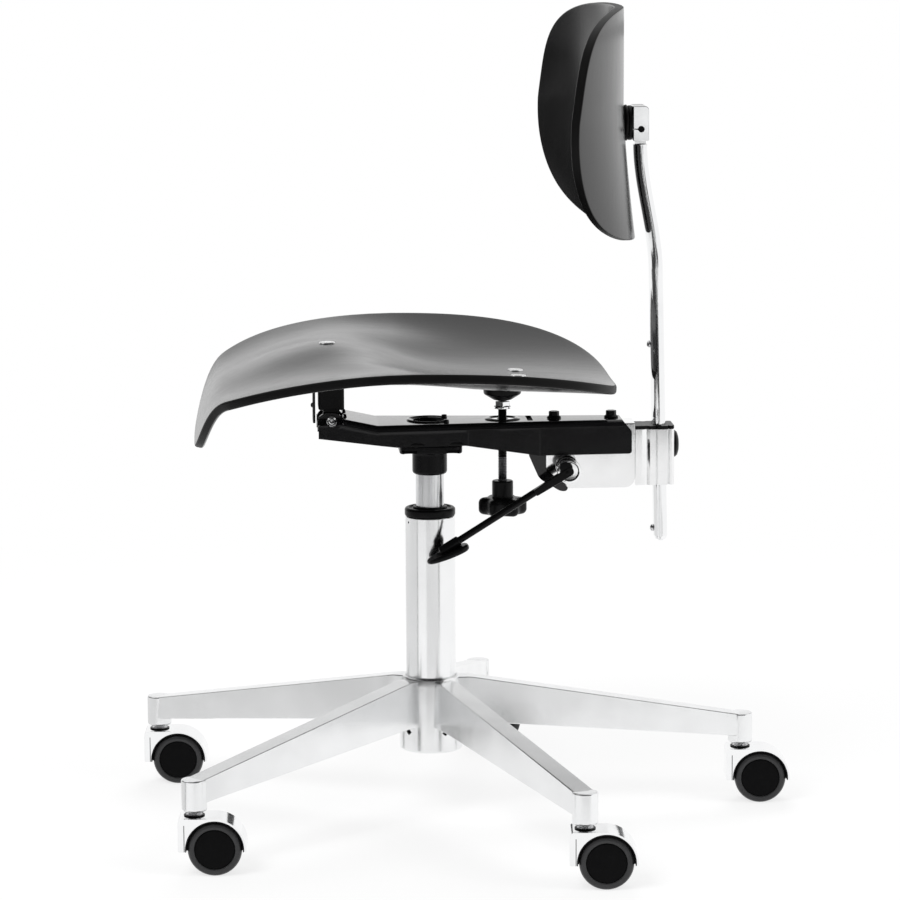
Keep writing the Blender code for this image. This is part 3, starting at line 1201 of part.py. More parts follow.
def build_release(leverAxis, rockerAxis, liftAxis, plastic, polished, steel):
    wallFace = BRACKET_WIDTH / 2 + CLEARANCE
    shaft = LEVER_SHAFT_DIAMETER / 2
    rim = BUSHING_DIAMETER / 2
    bore = shaft + CLEARANCE
    bushingEnd = wallFace + BUSHING_LENGTH
    bushing = turned([(bore, bushingEnd), (rim, bushingEnd), (rim, wallFace), (bore, wallFace)])
    bushing = moved(aimed(bushing, (0, -1, 0)), LEVER_X, 0, leverZ)
    piece("lever_bushing", mesh_of("lever_bushing", bushing), polished, liftAxis)
    hubNear = bushingEnd + CLEARANCE
    hub = LEVER_HUB_DIAMETER / 2
    hubFar = hubNear + LEVER_HUB_LENGTH
    shaftEnd = -wallFace - BRACKET_WALL
    turning = turned([(0, hubFar), (hub, hubFar), (hub, hubNear), (shaft, hubNear), (shaft, shaftEnd),
                      (0, shaftEnd)])
    slope = math.radians(LEVER_ROD_SLOPE)
    aim = Vector((-math.cos(slope), 0, -math.sin(slope)))
    rodY = -hubNear - LEVER_ROD_INSET
    rod = cylinder(LEVER_ROD_DIAMETER, 0, LEVER_ROD_LENGTH, SMALL_SIDES)
    rod = moved(aimed(rod, aim), LEVER_X, rodY, leverZ)
    tipX = LEVER_X - CRANK_REACH
    tipZ = leverZ + CRANK_RISE
    thick = CRANK_THICKNESS / 2
    crankY = rockerInnerY + 2 * CLEARANCE
    outline = [(LEVER_X - thick, leverZ), (tipX - thick, tipZ - thick), (tipX - thick / 2, tipZ),
               (tipX + thick / 2, tipZ), (tipX + 1.5 * thick, tipZ - thick), (LEVER_X + thick, leverZ)]
    crank = side_plate(outline, crankY, crankY + CRANK_WIDTH)
    lever = moved(aimed(turning, (0, -1, 0)), LEVER_X, 0, leverZ)
    piece("release_lever", combined("release_lever", lever, [rod, crank]), plastic, leverAxis)

    paddle = []
    for height, share in PADDLE_LAYERS:
        ring = []
        for index in range(ROUND_SIDES):
            turn = math.tau * index / ROUND_SIDES
            along = share * PADDLE_LENGTH / 2 * signed_power(math.cos(turn), PADDLE_ROUNDING)
            aside = share * PADDLE_WIDTH / 2 * signed_power(math.sin(turn), PADDLE_ROUNDING)
            ring.append((along, aside, height * PADDLE_THICKNESS))
        paddle.append(ring)
    plate = lofted(paddle)
    tilt = Matrix.Rotation(-math.radians(PADDLE_SLOPE), 3, "Y")
    bmesh.ops.rotate(plate, cent=(0, 0, 0), matrix=tilt, verts=plate.verts)
    rodEnd = Vector((LEVER_X, rodY, leverZ)) + aim * LEVER_ROD_LENGTH
    moved(plate, rodEnd.x + PADDLE_BACK, rodEnd.y, rodEnd.z - PADDLE_DROP)
    socket = cylinder(LEVER_ROD_DIAMETER + 2 * CLEARANCE, 0, LEVER_ROD_LENGTH + CLEARANCE, SMALL_SIDES)
    socket = moved(aimed(socket, aim), LEVER_X, rodY, leverZ)
    piece("lever_paddle", combined("lever_paddle", plate, cuts=[socket]), plastic, leverAxis)

    tabBottom = tipZ + CLEARANCE
    tabTop = tabBottom + ROCKER_TAB
    nose = buttonTop + CLEARANCE
    noseHalf = BUTTON_DIAMETER
    over = trunnionZ + TRUNNION_DIAMETER / 2 + ROCKER_TAB / 2
    cheek = ROCKER_CHEEK
    overTop = CARRIER_TOP - CARRIER_WALL - ROCKER_ROOF_GAP
    tabFront = tipX - CRANK_THICKNESS
    tabRear = tipX + CRANK_THICKNESS
    overFront = SPINDLE_X - TRUNNION_DIAMETER
    overRear = SPINDLE_X + TRUNNION_DIAMETER
    outline = [(-noseHalf, nose), (noseHalf, nose), (ROCKER_X - cheek, rockerZ - cheek),
               (ROCKER_X + cheek, rockerZ - cheek), (overFront, over), (overRear, over),
               (tabFront, tabBottom), (tabRear, tabBottom), (tabRear, tabTop), (tabFront, tabTop),
               (overRear, overTop), (ROCKER_X + cheek, rockerZ + cheek),
               (ROCKER_X - cheek, rockerZ + cheek), (noseHalf, nose + 3 * ROCKER_TAB),
               (-noseHalf, nose + 2 * ROCKER_TAB)]
    plate = side_plate(outline, rockerOuterY, rockerInnerY)
    inset = ROCKER_STEP
    overlap = rockerInnerY - ROCKER_THICKNESS / 2
    noseTab = block(inset - noseHalf, noseHalf - inset, overlap, BUTTON_DIAMETER, nose + inset,
                    nose + ROCKER_TAB)
    rearTab = block(tabFront + inset, tabRear - inset, overlap, crankY + CRANK_WIDTH,
                    tabBottom + inset, tabTop - inset)
    hole = across_hole(ROCKER_X, rockerZ, ROCKER_PIN_DIAMETER + 2 * CLEARANCE)
    piece("release_rocker", combined("release_rocker", plate, [noseTab, rearTab], [hole]), steel, rockerAxis)


def build_chair():
    clear_scene()
    plywood = material("black_plywood", (0.020, 0.020, 0.022), 0.32, 0.0)
    chrome = material("chrome", (0.78, 0.79, 0.80), 0.08, 1.0)
    aluminium = material("polished_aluminium", (0.74, 0.75, 0.76), 0.16, 1.0)
    polished = material("polished_bracket", (0.70, 0.71, 0.72), 0.20, 1.0)
    painted = material("black_painted_steel", (0.025, 0.025, 0.028), 0.28, 0.0)
    steel = material("bright_steel", (0.60, 0.60, 0.61), 0.28, 1.0)
    blackSteel = material("black_steel", (0.035, 0.035, 0.037), 0.35, 0.6)
    plastic = material("black_plastic", (0.018, 0.018, 0.019), 0.42, 0.0)
    tread = material("dark_tread", (0.055, 0.055, 0.058), 0.55, 0.0)
    rubber = material("black_rubber", (0.015, 0.015, 0.015), 0.70, 0.0)

    root = axis_empty("chair", COLUMN_X, COLUMN_Y, 0)
    fixed = axis_empty("base_axis", 0, 0, 0, root)
    swivel = axis_empty("swivel_axis", 0, 0, bearingTop, root)
    lift = axis_empty("lift_axis", 0, 0, CARRIER_TOP, root)
    button = axis_empty("button_axis", 0, 0, buttonTop, root)
    seat = axis_empty("seat_hinge_axis", HINGE_X, 0, hingeZ, root)
    spindle = axis_empty("spindle_axis", SPINDLE_X, 0, trunnionZ, root)
    lever = axis_empty("lever_axis", LEVER_X, 0, leverZ, root)
    rocker = axis_empty("rocker_axis", ROCKER_X, 0, rockerZ, root)
    knob = axis_empty("knob_axis", clampRear, 0, CLAMP_BOTTOM + KNOB_RISE, root)
    post = axis_empty("post_axis", post_centre(CLAMP_BOTTOM), 0, CLAMP_BOTTOM, root)
    back = axis_empty("back_hinge_axis", post_centre(PIN_Z), 0, PIN_Z, root)

    turns = build_base(fixed, aluminium)
    build_castors(root, turns, chrome, plastic, tread)
    build_column(fixed, swivel, lift, button, chrome, plastic, steel)
    build_housing(lift, painted)
    build_carrier(lift, painted, steel)
    build_front_hinge(seat, plastic)
    build_spindle(seat, spindle, spindle, lift, plastic, chrome, blackSteel)
    build_bracket(lift, knob, polished, plastic, blackSteel)
    build_post(post, chrome, steel)
    build_back_hinge(back, chrome, rubber)
    build_release(lever, rocker, lift, plastic, polished, steel)
    build_shells(seat, back, plywood, steel)


build_chair()
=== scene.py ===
import math

import bmesh
import bpy
from mathutils import Matrix, Vector


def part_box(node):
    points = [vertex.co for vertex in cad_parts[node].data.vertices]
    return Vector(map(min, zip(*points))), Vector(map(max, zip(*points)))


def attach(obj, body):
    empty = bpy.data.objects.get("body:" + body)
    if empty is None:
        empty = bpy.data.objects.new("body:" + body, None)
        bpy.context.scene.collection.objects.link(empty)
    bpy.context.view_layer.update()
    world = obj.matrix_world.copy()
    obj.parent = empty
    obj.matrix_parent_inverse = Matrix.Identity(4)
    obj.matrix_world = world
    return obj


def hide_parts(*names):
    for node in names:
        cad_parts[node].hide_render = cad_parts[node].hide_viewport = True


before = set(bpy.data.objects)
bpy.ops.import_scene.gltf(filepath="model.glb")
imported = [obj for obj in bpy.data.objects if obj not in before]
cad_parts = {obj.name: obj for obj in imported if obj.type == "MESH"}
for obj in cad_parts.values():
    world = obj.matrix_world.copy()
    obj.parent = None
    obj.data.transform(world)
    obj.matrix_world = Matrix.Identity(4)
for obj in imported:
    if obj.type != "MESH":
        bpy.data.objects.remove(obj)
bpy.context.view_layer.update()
columnLow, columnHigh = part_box("column_tube")
axisX = (columnLow.x + columnHigh.x) / 2  # the column's axis, which the chair is drawn about
axisY = (columnLow.y + columnHigh.y) / 2
clear = 0.0003  # gap between pieces that fit together
boltHole = 0.0033
print("frame loaded,", len(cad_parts), "nodes")


# shader maths

class Wire:
    def __init__(self, tree, socket=None):
        self.tree = tree
        self.socket = socket

    def node(self, kind, settings=None, links=None, out=0):
        made = self.tree.nodes.new("ShaderNode" + kind)
        for name, value in (settings or {}).items():
            setattr(made, name, value)
        for name, value in (links or {}).items():
            if isinstance(value, Wire):
                self.tree.links.new(value.socket, made.inputs[name])
            else:
                made.inputs[name].default_value = value
        return Wire(self.tree, made.outputs[out] if made.outputs else None)

    def maths(self, operation, first, second):
        return self.node("Math", {"operation": operation}, {0: first, 1: second})

    def __add__(self, other):
        return self.maths("ADD", self, other)

    def __mul__(self, other):
        return self.maths("MULTIPLY", self, other)

    def __pow__(self, other):
        return self.maths("POWER", self, other)

    __radd__ = __add__
    __rmul__ = __mul__


def startMaterial(name, base, **fixed):
    made = bpy.data.materials.new(name)
    made.use_nodes = True
    made.diffuse_color = (*base, 1)
    shader = made.node_tree.nodes["Principled BSDF"]
    shader.inputs["Base Color"].default_value = (*base, 1)
    for socket, value in fixed.items():
        shader.inputs[socket.replace("_", " ")].default_value = value
    place = Wire(made.node_tree).node("TexCoord", out="Object")
    return made, shader, place


def feed(shader, socket, wire):
    wire.tree.links.new(wire.socket, shader.inputs[socket])


def noiseAt(place, scale, stretch=(1, 1, 1), detail=3):
    moved = place.node("Mapping", None, {"Vector": place, "Scale": stretch})
    return place.node("TexNoise", None, {"Vector": moved, "Scale": scale, "Detail": detail})


def blendColour(mask, first, second):
    return mask.node("Mix", {"data_type": "RGBA"}, {"Factor": mask, 6: (*first, 1), 7: (*second, 1)}, out=2)


def bumpFrom(height, strength, distance):
    return height.node("Bump", None, {"Height": height, "Strength": strength, "Distance": distance})


# finishes

def lacqueredPlywood(name, stretch, gloss=0.22, sheen=0.5):
    look = {"base": (0.003, 0.003, 0.0032), "worn": (0.0058, 0.0056, 0.0054), "spread": 0.1, "plies": 7}
    made, shader, place = startMaterial(name, look["base"], Specular_IOR_Level=sheen)
    grain = noiseAt(place, 1, stretch, 5)  # long fibres
    pores = noiseAt(place, 1, tuple(4 * s for s in stretch), 2)
    cloud = noiseAt(place, 9, detail=2)
    depth = place.node("Attribute", {"attribute_name": "plyDepth"}, out="Fac")
    layers = place.node("Math", {"operation": "SINE"}, {0: depth * (look["plies"] * math.pi)})
    plies = layers.node("Math", {"operation": "ABSOLUTE"}, {0: layers})  # veneers show on the edge
    feed(shader, "Base Color", blendColour(grain ** 2 * 0.6 + plies * 0.5, look["base"], look["worn"]))
    feed(shader, "Roughness", grain * look["spread"] + cloud * 0.06 + plies * 0.12 + (gloss - 0.09))
    feed(shader, "Normal", bumpFrom(grain * 0.5 + pores * 0.3 + plies * 0.6, 0.1, 0.0006))
    return made


def brightMetal(name, base, gloss, smear, wave=0.03, lines=(1, 1, 1)):
    made, shader, place = startMaterial(name, base, Metallic=1.0)
    cloud = noiseAt(place, 26, detail=4)
    polish = noiseAt(place, 240, lines, 3)  # fine polishing marks
    swell = noiseAt(place, 34, detail=1)
    feed(shader, "Base Color", blendColour(cloud ** 2 * 0.7, base, tuple(0.86 * c for c in base)))
    feed(shader, "Roughness", cloud * smear + polish * (smear * 0.6) + (gloss - smear * 0.5))
    feed(shader, "Normal", bumpFrom(swell + polish * 0.08, wave, 0.002))
    return made


def blackFinish(name, base, gloss, sheen, peel, speck, depth, **coat):
    made, shader, place = startMaterial(name, base, Specular_IOR_Level=sheen, **coat)
    grain = noiseAt(place, peel, detail=2)  # orange peel or moulded texture
    dust = noiseAt(place, speck, detail=4)
    feed(shader, "Base Color", blendColour(dust ** 3, base, tuple(1.7 * c + 0.002 for c in base)))
    feed(shader, "Roughness", grain * 0.1 + dust * 0.1 + (gloss - 0.1))
    feed(shader, "Normal", bumpFrom(grain, depth, 0.0008))
    return made


seatWood = lacqueredPlywood("seatLacquer", (9, 190, 190))
backWood = lacqueredPlywood("backLacquer", (190, 190, 9))
edgeWood = lacqueredPlywood("edgeLacquer", (90, 90, 90), 0.4, 0.1)
chromePlate = brightMetal("chromePlate", (0.92, 0.925, 0.93), 0.065, 0.04)
columnChrome = brightMetal("columnChrome", (0.92, 0.925, 0.93), 0.155, 0.05, 0.02, (1, 1, 0.05))
polishedCast = brightMetal("polishedCasting", (0.9, 0.905, 0.91), 0.19, 0.12, 0.08)
satinBracket = brightMetal("satinBracket", (0.94, 0.942, 0.945), 0.08, 0.05, 0.02, (1, 1, 12))
zincSteel = brightMetal("zincSteel", (0.72, 0.72, 0.73), 0.24, 0.14)
screwZinc = brightMetal("screwZinc", (0.95, 0.95, 0.955), 0.22, 0.1)
threadSteel = brightMetal("threadSteel", (0.2, 0.2, 0.21), 0.36, 0.12)
brushedTube = brightMetal("brushedTube", (0.74, 0.745, 0.755), 0.2, 0.1, 0.02, (1, 1, 0.02))
glossPaint = blackFinish("glossPaint", (0.004, 0.004, 0.0045), 0.16, 0.2, 420, 60, 0.03,
    Coat_Weight=0.5, Coat_Roughness=0.04)
darkSteel = blackFinish("darkSteel", (0.003, 0.003, 0.0033), 0.26, 0.12, 900, 120, 0.08)
mouldedPlastic = blackFinish("mouldedPlastic", (0.0028, 0.0028, 0.003), 0.3, 0.13, 1500, 90, 0.08)
hubPlastic = blackFinish("hubPlastic", (0.0022, 0.0022, 0.0024), 0.48, 0.07, 2200, 200, 0.22)
treadRubber = blackFinish("treadRubber", (0.024, 0.024, 0.025), 0.36, 0.35, 1100, 140, 0.1)
softRubber = blackFinish("softRubber", (0.0025, 0.0025, 0.0025), 0.45, 0.15, 1300, 160, 0.12)
print("finishes ready,", len(bpy.data.materials), "materials")


# modelling helpers, most of which take and return a bmesh

def facedOut(shape):
    bmesh.ops.recalc_face_normals(shape, faces=shape.faces)
    return shape


def gridOf(cellsX, cellsY, size=0.5):
    shape = bmesh.new()
    bmesh.ops.create_grid(shape, x_segments=cellsX, y_segments=cellsY, size=size)
    return shape


def wireOf(corners, closed, segments):
    shape = bmesh.new()
    points = [shape.verts.new((corner[0], 0, corner[1])) for corner in corners]
    for pair in zip(points, points[1:] + points[:1] if closed else points[1:]):
        shape.edges.new(pair)
    for point, corner in zip(points, corners):
        if len(corner) > 2:  # a third number rounds that corner
            bmesh.ops.bevel(shape, geom=[point], offset=corner[2], offset_type="OFFSET", segments=segments,
                profile=0.5, affect="VERTICES", material=-1)
    return shape


def lathe(profile, steps):
    shape = wireOf(profile, profile[0][0] > 0 or profile[-1][0] > 0, 4)
    bmesh.ops.spin(shape, geom=shape.verts[:] + shape.edges[:], cent=(0, 0, 0), axis=(0, 0, 1),
        dvec=(0, 0, 0), angle=math.tau, steps=steps, use_merge=True)
    bmesh.ops.remove_doubles(shape, verts=shape.verts, dist=1e-6)
    return facedOut(shape)


def shift(shape, x=0, y=0, z=0):
    bmesh.ops.translate(shape, vec=(x, y, z), verts=shape.verts)
    return shape


def sized(shape, *shares):
    bmesh.ops.scale(shape, vec=shares, verts=shape.verts)
    return shape


def turn(shape, degrees, axis="Z"):
    swing = Matrix.Rotation(math.radians(degrees), 3, axis)
    bmesh.ops.rotate(shape, cent=(0, 0, 0), matrix=swing, verts=shape.verts)
    return shape


def put(shape, direction, x=0, y=0, z=0):  # its Z axis along the direction, then moved
    swing = Vector((0, 0, 1)).rotation_difference(Vector(direction)).to_matrix()
    bmesh.ops.rotate(shape, cent=(0, 0, 0), matrix=swing, verts=shape.verts)
    return shift(shape, x, y, z)


def rod(radius, high, low, steps):
    return lathe([(0, high), (radius, high), (radius, low), (0, low)], steps)


def crossRod(radius, half, x, z, steps=28):
    return put(rod(radius, half, -half, steps), (0, 1, 0), x, 0, z)


def push(shape, vec):
    grown = bmesh.ops.extrude_face_region(shape, geom=shape.faces[:])["geom"]
    tips = [item for item in grown if isinstance(item, bmesh.types.BMVert)]
    bmesh.ops.translate(shape, vec=vec, verts=tips)
    facedOut(shape)
    return tips


def sidePlate(outline, low, high, segments=5):
    shape = wireOf(outline, True, segments)
    bmesh.ops.edgeloop_fill(shape, edges=shape.edges[:])
    shift(shape, y=low)
    push(shape, (0, high - low, 0))
    return shape


def planPlate(outline, low, high, segments=5):
    return turn(sidePlate(outline, -high, -low, segments), -90, "X")


def boxed(lowX, lowZ, highX, highZ, *rounding):
    return [(x, z, *rounding) for x, z in ((lowX, lowZ), (highX, lowZ), (highX, highZ), (lowX, highZ))]


def hexagon(radius, first=0):
    turns = [math.radians(60 * number + first) for number in range(6)]
    return [(radius * math.cos(t), radius * math.sin(t)) for t in turns]


def mirrored(corners):  # the way back, on the other side
    return [(corner[0], -corner[1], *corner[2:]) for corner in reversed(corners)]


def span(edge, axis):
    return abs(edge.verts[0].co[axis] - edge.verts[1].co[axis])


def soften(shape, width, segments=2, least=30, chosen=None):
    facedOut(shape)
    sharp = [edge for edge in shape.edges if len(edge.link_faces) == 2
        and edge.calc_face_angle(0) > math.radians(least) and (chosen is None or chosen(edge))]
    bmesh.ops.bevel(shape, geom=sharp, offset=width, offset_type="OFFSET", segments=segments, profile=0.5,
        affect="EDGES", material=-1, clamp_overlap=True)
    return shape


def pad(segments, outline, start, end, edge, steps):  # the outline gives x and y at an angle
    shape = bmesh.new()
    bmesh.ops.create_circle(shape, cap_ends=True, radius=1, segments=segments)
    for corner in shape.verts:
        corner.co = (*outline(math.atan2(corner.co.y, corner.co.x)), start)
    push(shape, (0, 0, end - start))
    return soften(shape, edge, steps, 50)


def skin(shape, loops):  # a closed run through loops of edges
    for near, far in zip(loops, loops[1:]):
        bmesh.ops.bridge_loops(shape, edges=near + far)
    for end in (loops[0], loops[-1]):
        bmesh.ops.edgeloop_fill(shape, edges=end)
    return shape


def paint(shape, chosen=None, index=1):  # another finish on the chosen faces
    for face in shape.faces:
        if chosen is None or chosen(face.calc_center_median()):
            face.material_index = index
    return shape


def joined(whole, other):
    spare = bpy.data.meshes.new("spare")
    other.to_mesh(spare)
    whole.from_mesh(spare)
    bpy.data.meshes.remove(spare)


def placed(name, shape):
    mesh = bpy.data.meshes.new(name)
    shape.to_mesh(mesh)
    shape.free()
    made = bpy.data.objects.new(name, mesh)
    bpy.context.scene.collection.objects.link(made)
    return made


def carved(shape, cuts=(), joins=()):
    body = placed("work", facedOut(shape))
    tools = []
    for operation, items in (("UNION", joins), ("DIFFERENCE", cuts)):
        for item in items:
            tools.append(placed("work", facedOut(item)))
            step = body.modifiers.new("step", "BOOLEAN")
            step.operation = operation
            step.solver = "EXACT"
            step.object = tools[-1]
    bpy.context.view_layer.update()
    made = bpy.data.meshes.new_from_object(body.evaluated_get(bpy.context.evaluated_depsgraph_get()))
    result = bmesh.new()
    result.from_mesh(made)
    bpy.data.meshes.remove(made)
    for item in [body, *tools]:
        mesh = item.data
        bpy.data.objects.remove(item)
        bpy.data.meshes.remove(mesh)
    bmesh.ops.remove_doubles(result, verts=result.verts, dist=2e-6)
    bmesh.ops.dissolve_degenerate(result, dist=1e-6, edges=result.edges)
    return result


def dress(name, shape, body, finishes, stands=(), smooth=32, about=None):
    shape.transform(about or Matrix.Translation((axisX, axisY, 0)))
    bmesh.ops.remove_doubles(shape, verts=shape.verts, dist=1e-6)
    piece = placed(name, facedOut(shape))
    for finish in finishes if isinstance(finishes, tuple) else (finishes,):
        piece.data.materials.append(finish)
    piece.data.shade_smooth()
    piece.data.set_sharp_from_angle(angle=math.radians(smooth))
    even = piece.modifiers.new("evenShade", "WEIGHTED_NORMAL")  # flat runs stay flat between rounded edges
    even.keep_sharp = True
    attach(piece, body)
    if stands:
        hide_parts(*stands)
    return piece


def along(values, x):  # straight lines between (x, value) stations
    for (lowX, low), (highX, high) in zip(values, values[1:]):
        if x <= highX:
            break
    share = min(max((x - lowX) / (highX - lowX), 0), 1)
    return low + share * (high - low)


def bell(value, spread):
    return math.exp(-(value / spread) ** 2)


def powered(value, power):
    return math.copysign(abs(value) ** power, value)


def spun(degrees, axis):
    return Matrix.Rotation(math.radians(degrees), 4, axis)


def slopeNormal(height, a, b, step=0.0005):
    slopeA = (height(a + step, b) - height(a - step, b)) / (2 * step)
    slopeB = (height(a, b + step) - height(a, b - step)) / (2 * step)
    return Vector((-slopeA, -slopeB, 1)).normalized()


def sheet(cells, mapped, outward, thick, edge, depthAt=None):
    shape = gridOf(cells, cells, 1)
    for corner in shape.verts:
        corner.co = mapped(math.atan2(corner.co.y, corner.co.x), max(abs(corner.co.x), abs(corner.co.y)))
    for corner in push(shape, (0, 0, 0)):
        corner.co += thick * outward(corner.co)
    soften(shape, edge, 4, 45)
    if depthAt:
        depth = shape.verts.layers.float.new("plyDepth")
        for corner in shape.verts:
            corner[depth] = min(max(depthAt(corner.co), 0), 1)
        for face in shape.faces:  # the cut edge has the duller finish
            level = sum(corner[depth] for corner in face.verts) / len(face.verts)
            face.material_index = int(0.05 < level < 0.95)
    return shape


# plywood seat

seatForm = {"width": 0.4772, "front": 0.1835, "rear": 0.231, "centreX": -0.05, "square": 3.1,
    "height": 0.4473, "lowX": -0.02, "sideRise": 0.55, "rearFall": 0.17, "frontFall": 0.73, "lip": 0.0335,
    "lipDrop": 0.047, "lipPower": 2.7, "pommel": 0.036, "pommelX": -0.11, "pommelRear": 0.078,
    "pommelFront": 0.137, "pommelSide": 0.11, "narrow": 0.45, "ease": 0.005, "easeX": -0.04,
    "easeLong": 0.062, "easeY": 0.125, "easeWide": 0.062, "thick": 0.009, "edge": 0.0028, "cells": 72}


def seatTop(x, y):
    form = seatForm
    reach = x - form["lowX"]
    fall = form["rearFall"] if reach > 0 else form["frontFall"]
    lip = max(0, (form["centreX"] - form["front"] + form["lip"] - x) / form["lip"])
    spread = form["pommelRear"] if x > form["pommelX"] else form["pommelFront"]
    broad = 1 - (2 * y / form["width"]) ** 2
    across = form["narrow"] * bell(y, form["pommelSide"]) + (1 - form["narrow"]) * broad
    hump = form["pommel"] * bell(x - form["pommelX"], spread) * across
    drop = fall * reach ** 2 + form["lipDrop"] * lip ** form["lipPower"]
    ease = bell(x - form["easeX"], form["easeLong"]) * bell(abs(y) - form["easeY"], form["easeWide"])
    return form["height"] - drop + form["sideRise"] * y ** 2 + hump + form["ease"] * ease


def seatUnder(x, y):
    return seatTop(x, y) - seatForm["thick"] / slopeNormal(seatTop, x, y).z


def seatDown(spot):
    return -slopeNormal(seatTop, spot.x, spot.y)


def seatDepth(spot):
    return (spot.z - seatTop(spot.x, spot.y)) * seatDown(spot).z / seatForm["thick"]


def seatMap(angle, share):
    form = seatForm
    length = form["rear"] if math.cos(angle) > 0 else form["front"]
    x = form["centreX"] + share * length * powered(math.cos(angle), 2 / form["square"])
    y = share * form["width"] / 2 * powered(math.sin(angle), 2 / form["square"])
    return Vector((x, y, seatTop(x, y)))


seatPanel = sheet(seatForm["cells"], seatMap, seatDown, seatForm["thick"], seatForm["edge"], seatDepth)
dress("seatPanel", seatPanel, "seat", (seatWood, edgeWood), ["seat_shell"], 50)

screwForm = {"places": {"front": (-0.1008, 0), "rear_left": (0.087, -0.0205),
    "rear_right": (0.087, 0.0205)}, "radius": 0.00775, "height": 0.0013, "shank": 0.003, "depth": 0.006,
    "lift": 0.0002}
for where, (x, y) in screwForm["places"].items():
    radius, height, shank, lift = (screwForm[part] for part in ("radius", "height", "shank", "lift"))
    head = lathe([(0, height), (radius * 0.8, height * 0.97), (radius * 0.95, height * 0.74), (radius, lift),
        (shank, lift), (shank, -screwForm["depth"]), (0, -screwForm["depth"])], 40)
    put(head, slopeNormal(seatTop, x, y), x, y, seatTop(x, y))
    dress("seatScrew_" + where, head, "seat", screwZinc, ["seat_screw_" + where])
print("seat done")


# plywood backrest

backForm = {"width": 0.3858, "middle": 0.72, "up": 0.0877, "down": 0.1405, "squareUp": 3.53,
    "squareDown": 2.46, "spineX": 0.1822, "bendZ": 0.706, "slope": 0.06, "curve": 0.3, "wrapZ": 0.7,
    "wrapSpan": 0.1, "wrapTerms": (1.601, -0.385, 0.066, -0.128, 0.286), "thick": 0.009, "edge": 0.0022,
    "cells": 64}


def backFace(y, z):
    form = backForm
    below = max(0, form["bendZ"] - z)
    rise = (z - form["wrapZ"]) / form["wrapSpan"]
    wrap = sum(term * rise ** power for power, term in enumerate(form["wrapTerms"]))
    return form["spineX"] + form["slope"] * below + form["curve"] * below ** 2 - wrap * y ** 2


def backRear(spot):
    normal = slopeNormal(backFace, spot.y, spot.z)
    return Vector((normal.z, normal.x, normal.y))


def backDepth(spot):
    return (spot.x - backFace(spot.y, spot.z)) * backRear(spot).x / backForm["thick"]


def backMap(angle, share):
    form = backForm
    upper = math.sin(angle) > 0
    power = 2 / (form["squareUp"] if upper else form["squareDown"])
    y = share * form["width"] / 2 * powered(math.cos(angle), power)
    z = form["middle"] + share * (form["up"] if upper else form["down"]) * powered(math.sin(angle), power)
    return Vector((backFace(y, z), y, z))


backPanel = sheet(backForm["cells"], backMap, backRear, backForm["thick"], backForm["edge"], backDepth)
dress("backPanel", backPanel, "back", (backWood, edgeWood), ["backrest_shell"], 50)
print("backrest done")


# five-arm base

baseForm = {"arms": 5, "firstTurn": 5.7, "reach": 0.3176, "bore": 0.0253, "hubTop": 0.143,
    "hubBottom": 0.068, "hubOuter": 0.0315, "hubNeck": 0.0289, "hubHole": 0.0193, "hubFloor": 0.072,
    "rootTop": 0.1405, "rootBottom": 0.0945, "rootWidth": 0.0215, "tipTop": 0.0902, "tipBottom": 0.068,
    "tipWidth": 0.0222, "rootReach": 0.039, "topInset": 0.0006, "socket": 0.01225, "socketTop": 0.0908,
    "socketBottom": 0.06, "stem": 0.0053, "stemTop": 0.0865, "reflectionPitZ": 0.0884, "topEdge": 0.0009,
    "lowEdge": 0.0022,
    "flares": ((0.0272, -0.001, 0.0012), (0.033, -0.0005, 0.0012), (0.038, 0, 0.0009), (0.046, 0, 0.0004),
        (0.056, 0, 0))}  # reach, then how much wider above and below


def armSection(shape, reach, flareTop, flareLow):
    form = baseForm
    share = max(0, (reach - form["rootReach"]) / (form["reach"] - form["rootReach"]))
    top = form["rootTop"] + share * (form["tipTop"] - form["rootTop"])
    low = form["rootBottom"] + share * (form["tipBottom"] - form["rootBottom"])
    half = (form["rootWidth"] + share * (form["tipWidth"] - form["rootWidth"])) / 2
    under, upper = half + flareLow, half - form["topInset"] + flareTop
    corners = ((-under, low), (under, low), (upper, top), (-upper, top))
    ring = [shape.verts.new((reach, *corner)) for corner in corners]
    return [shape.edges.new(pair) for pair in zip(ring, ring[1:] + ring[:1])]


def baseArm(angle):
    shape = bmesh.new()
    stations = (*baseForm["flares"], (baseForm["reach"], 0, 0))
    skin(shape, [armSection(shape, *station) for station in stations])
    for width, upper in ((baseForm["topEdge"], True), (baseForm["lowEdge"], False)):
        soften(shape, width, 3, 40, lambda edge: span(edge, 0) > 0.002 and abs(edge.verts[0].co.y) > 0.006
            and (min(v.co.z for v in edge.verts) > 0.0895) == upper)
    return turn(shape, angle)


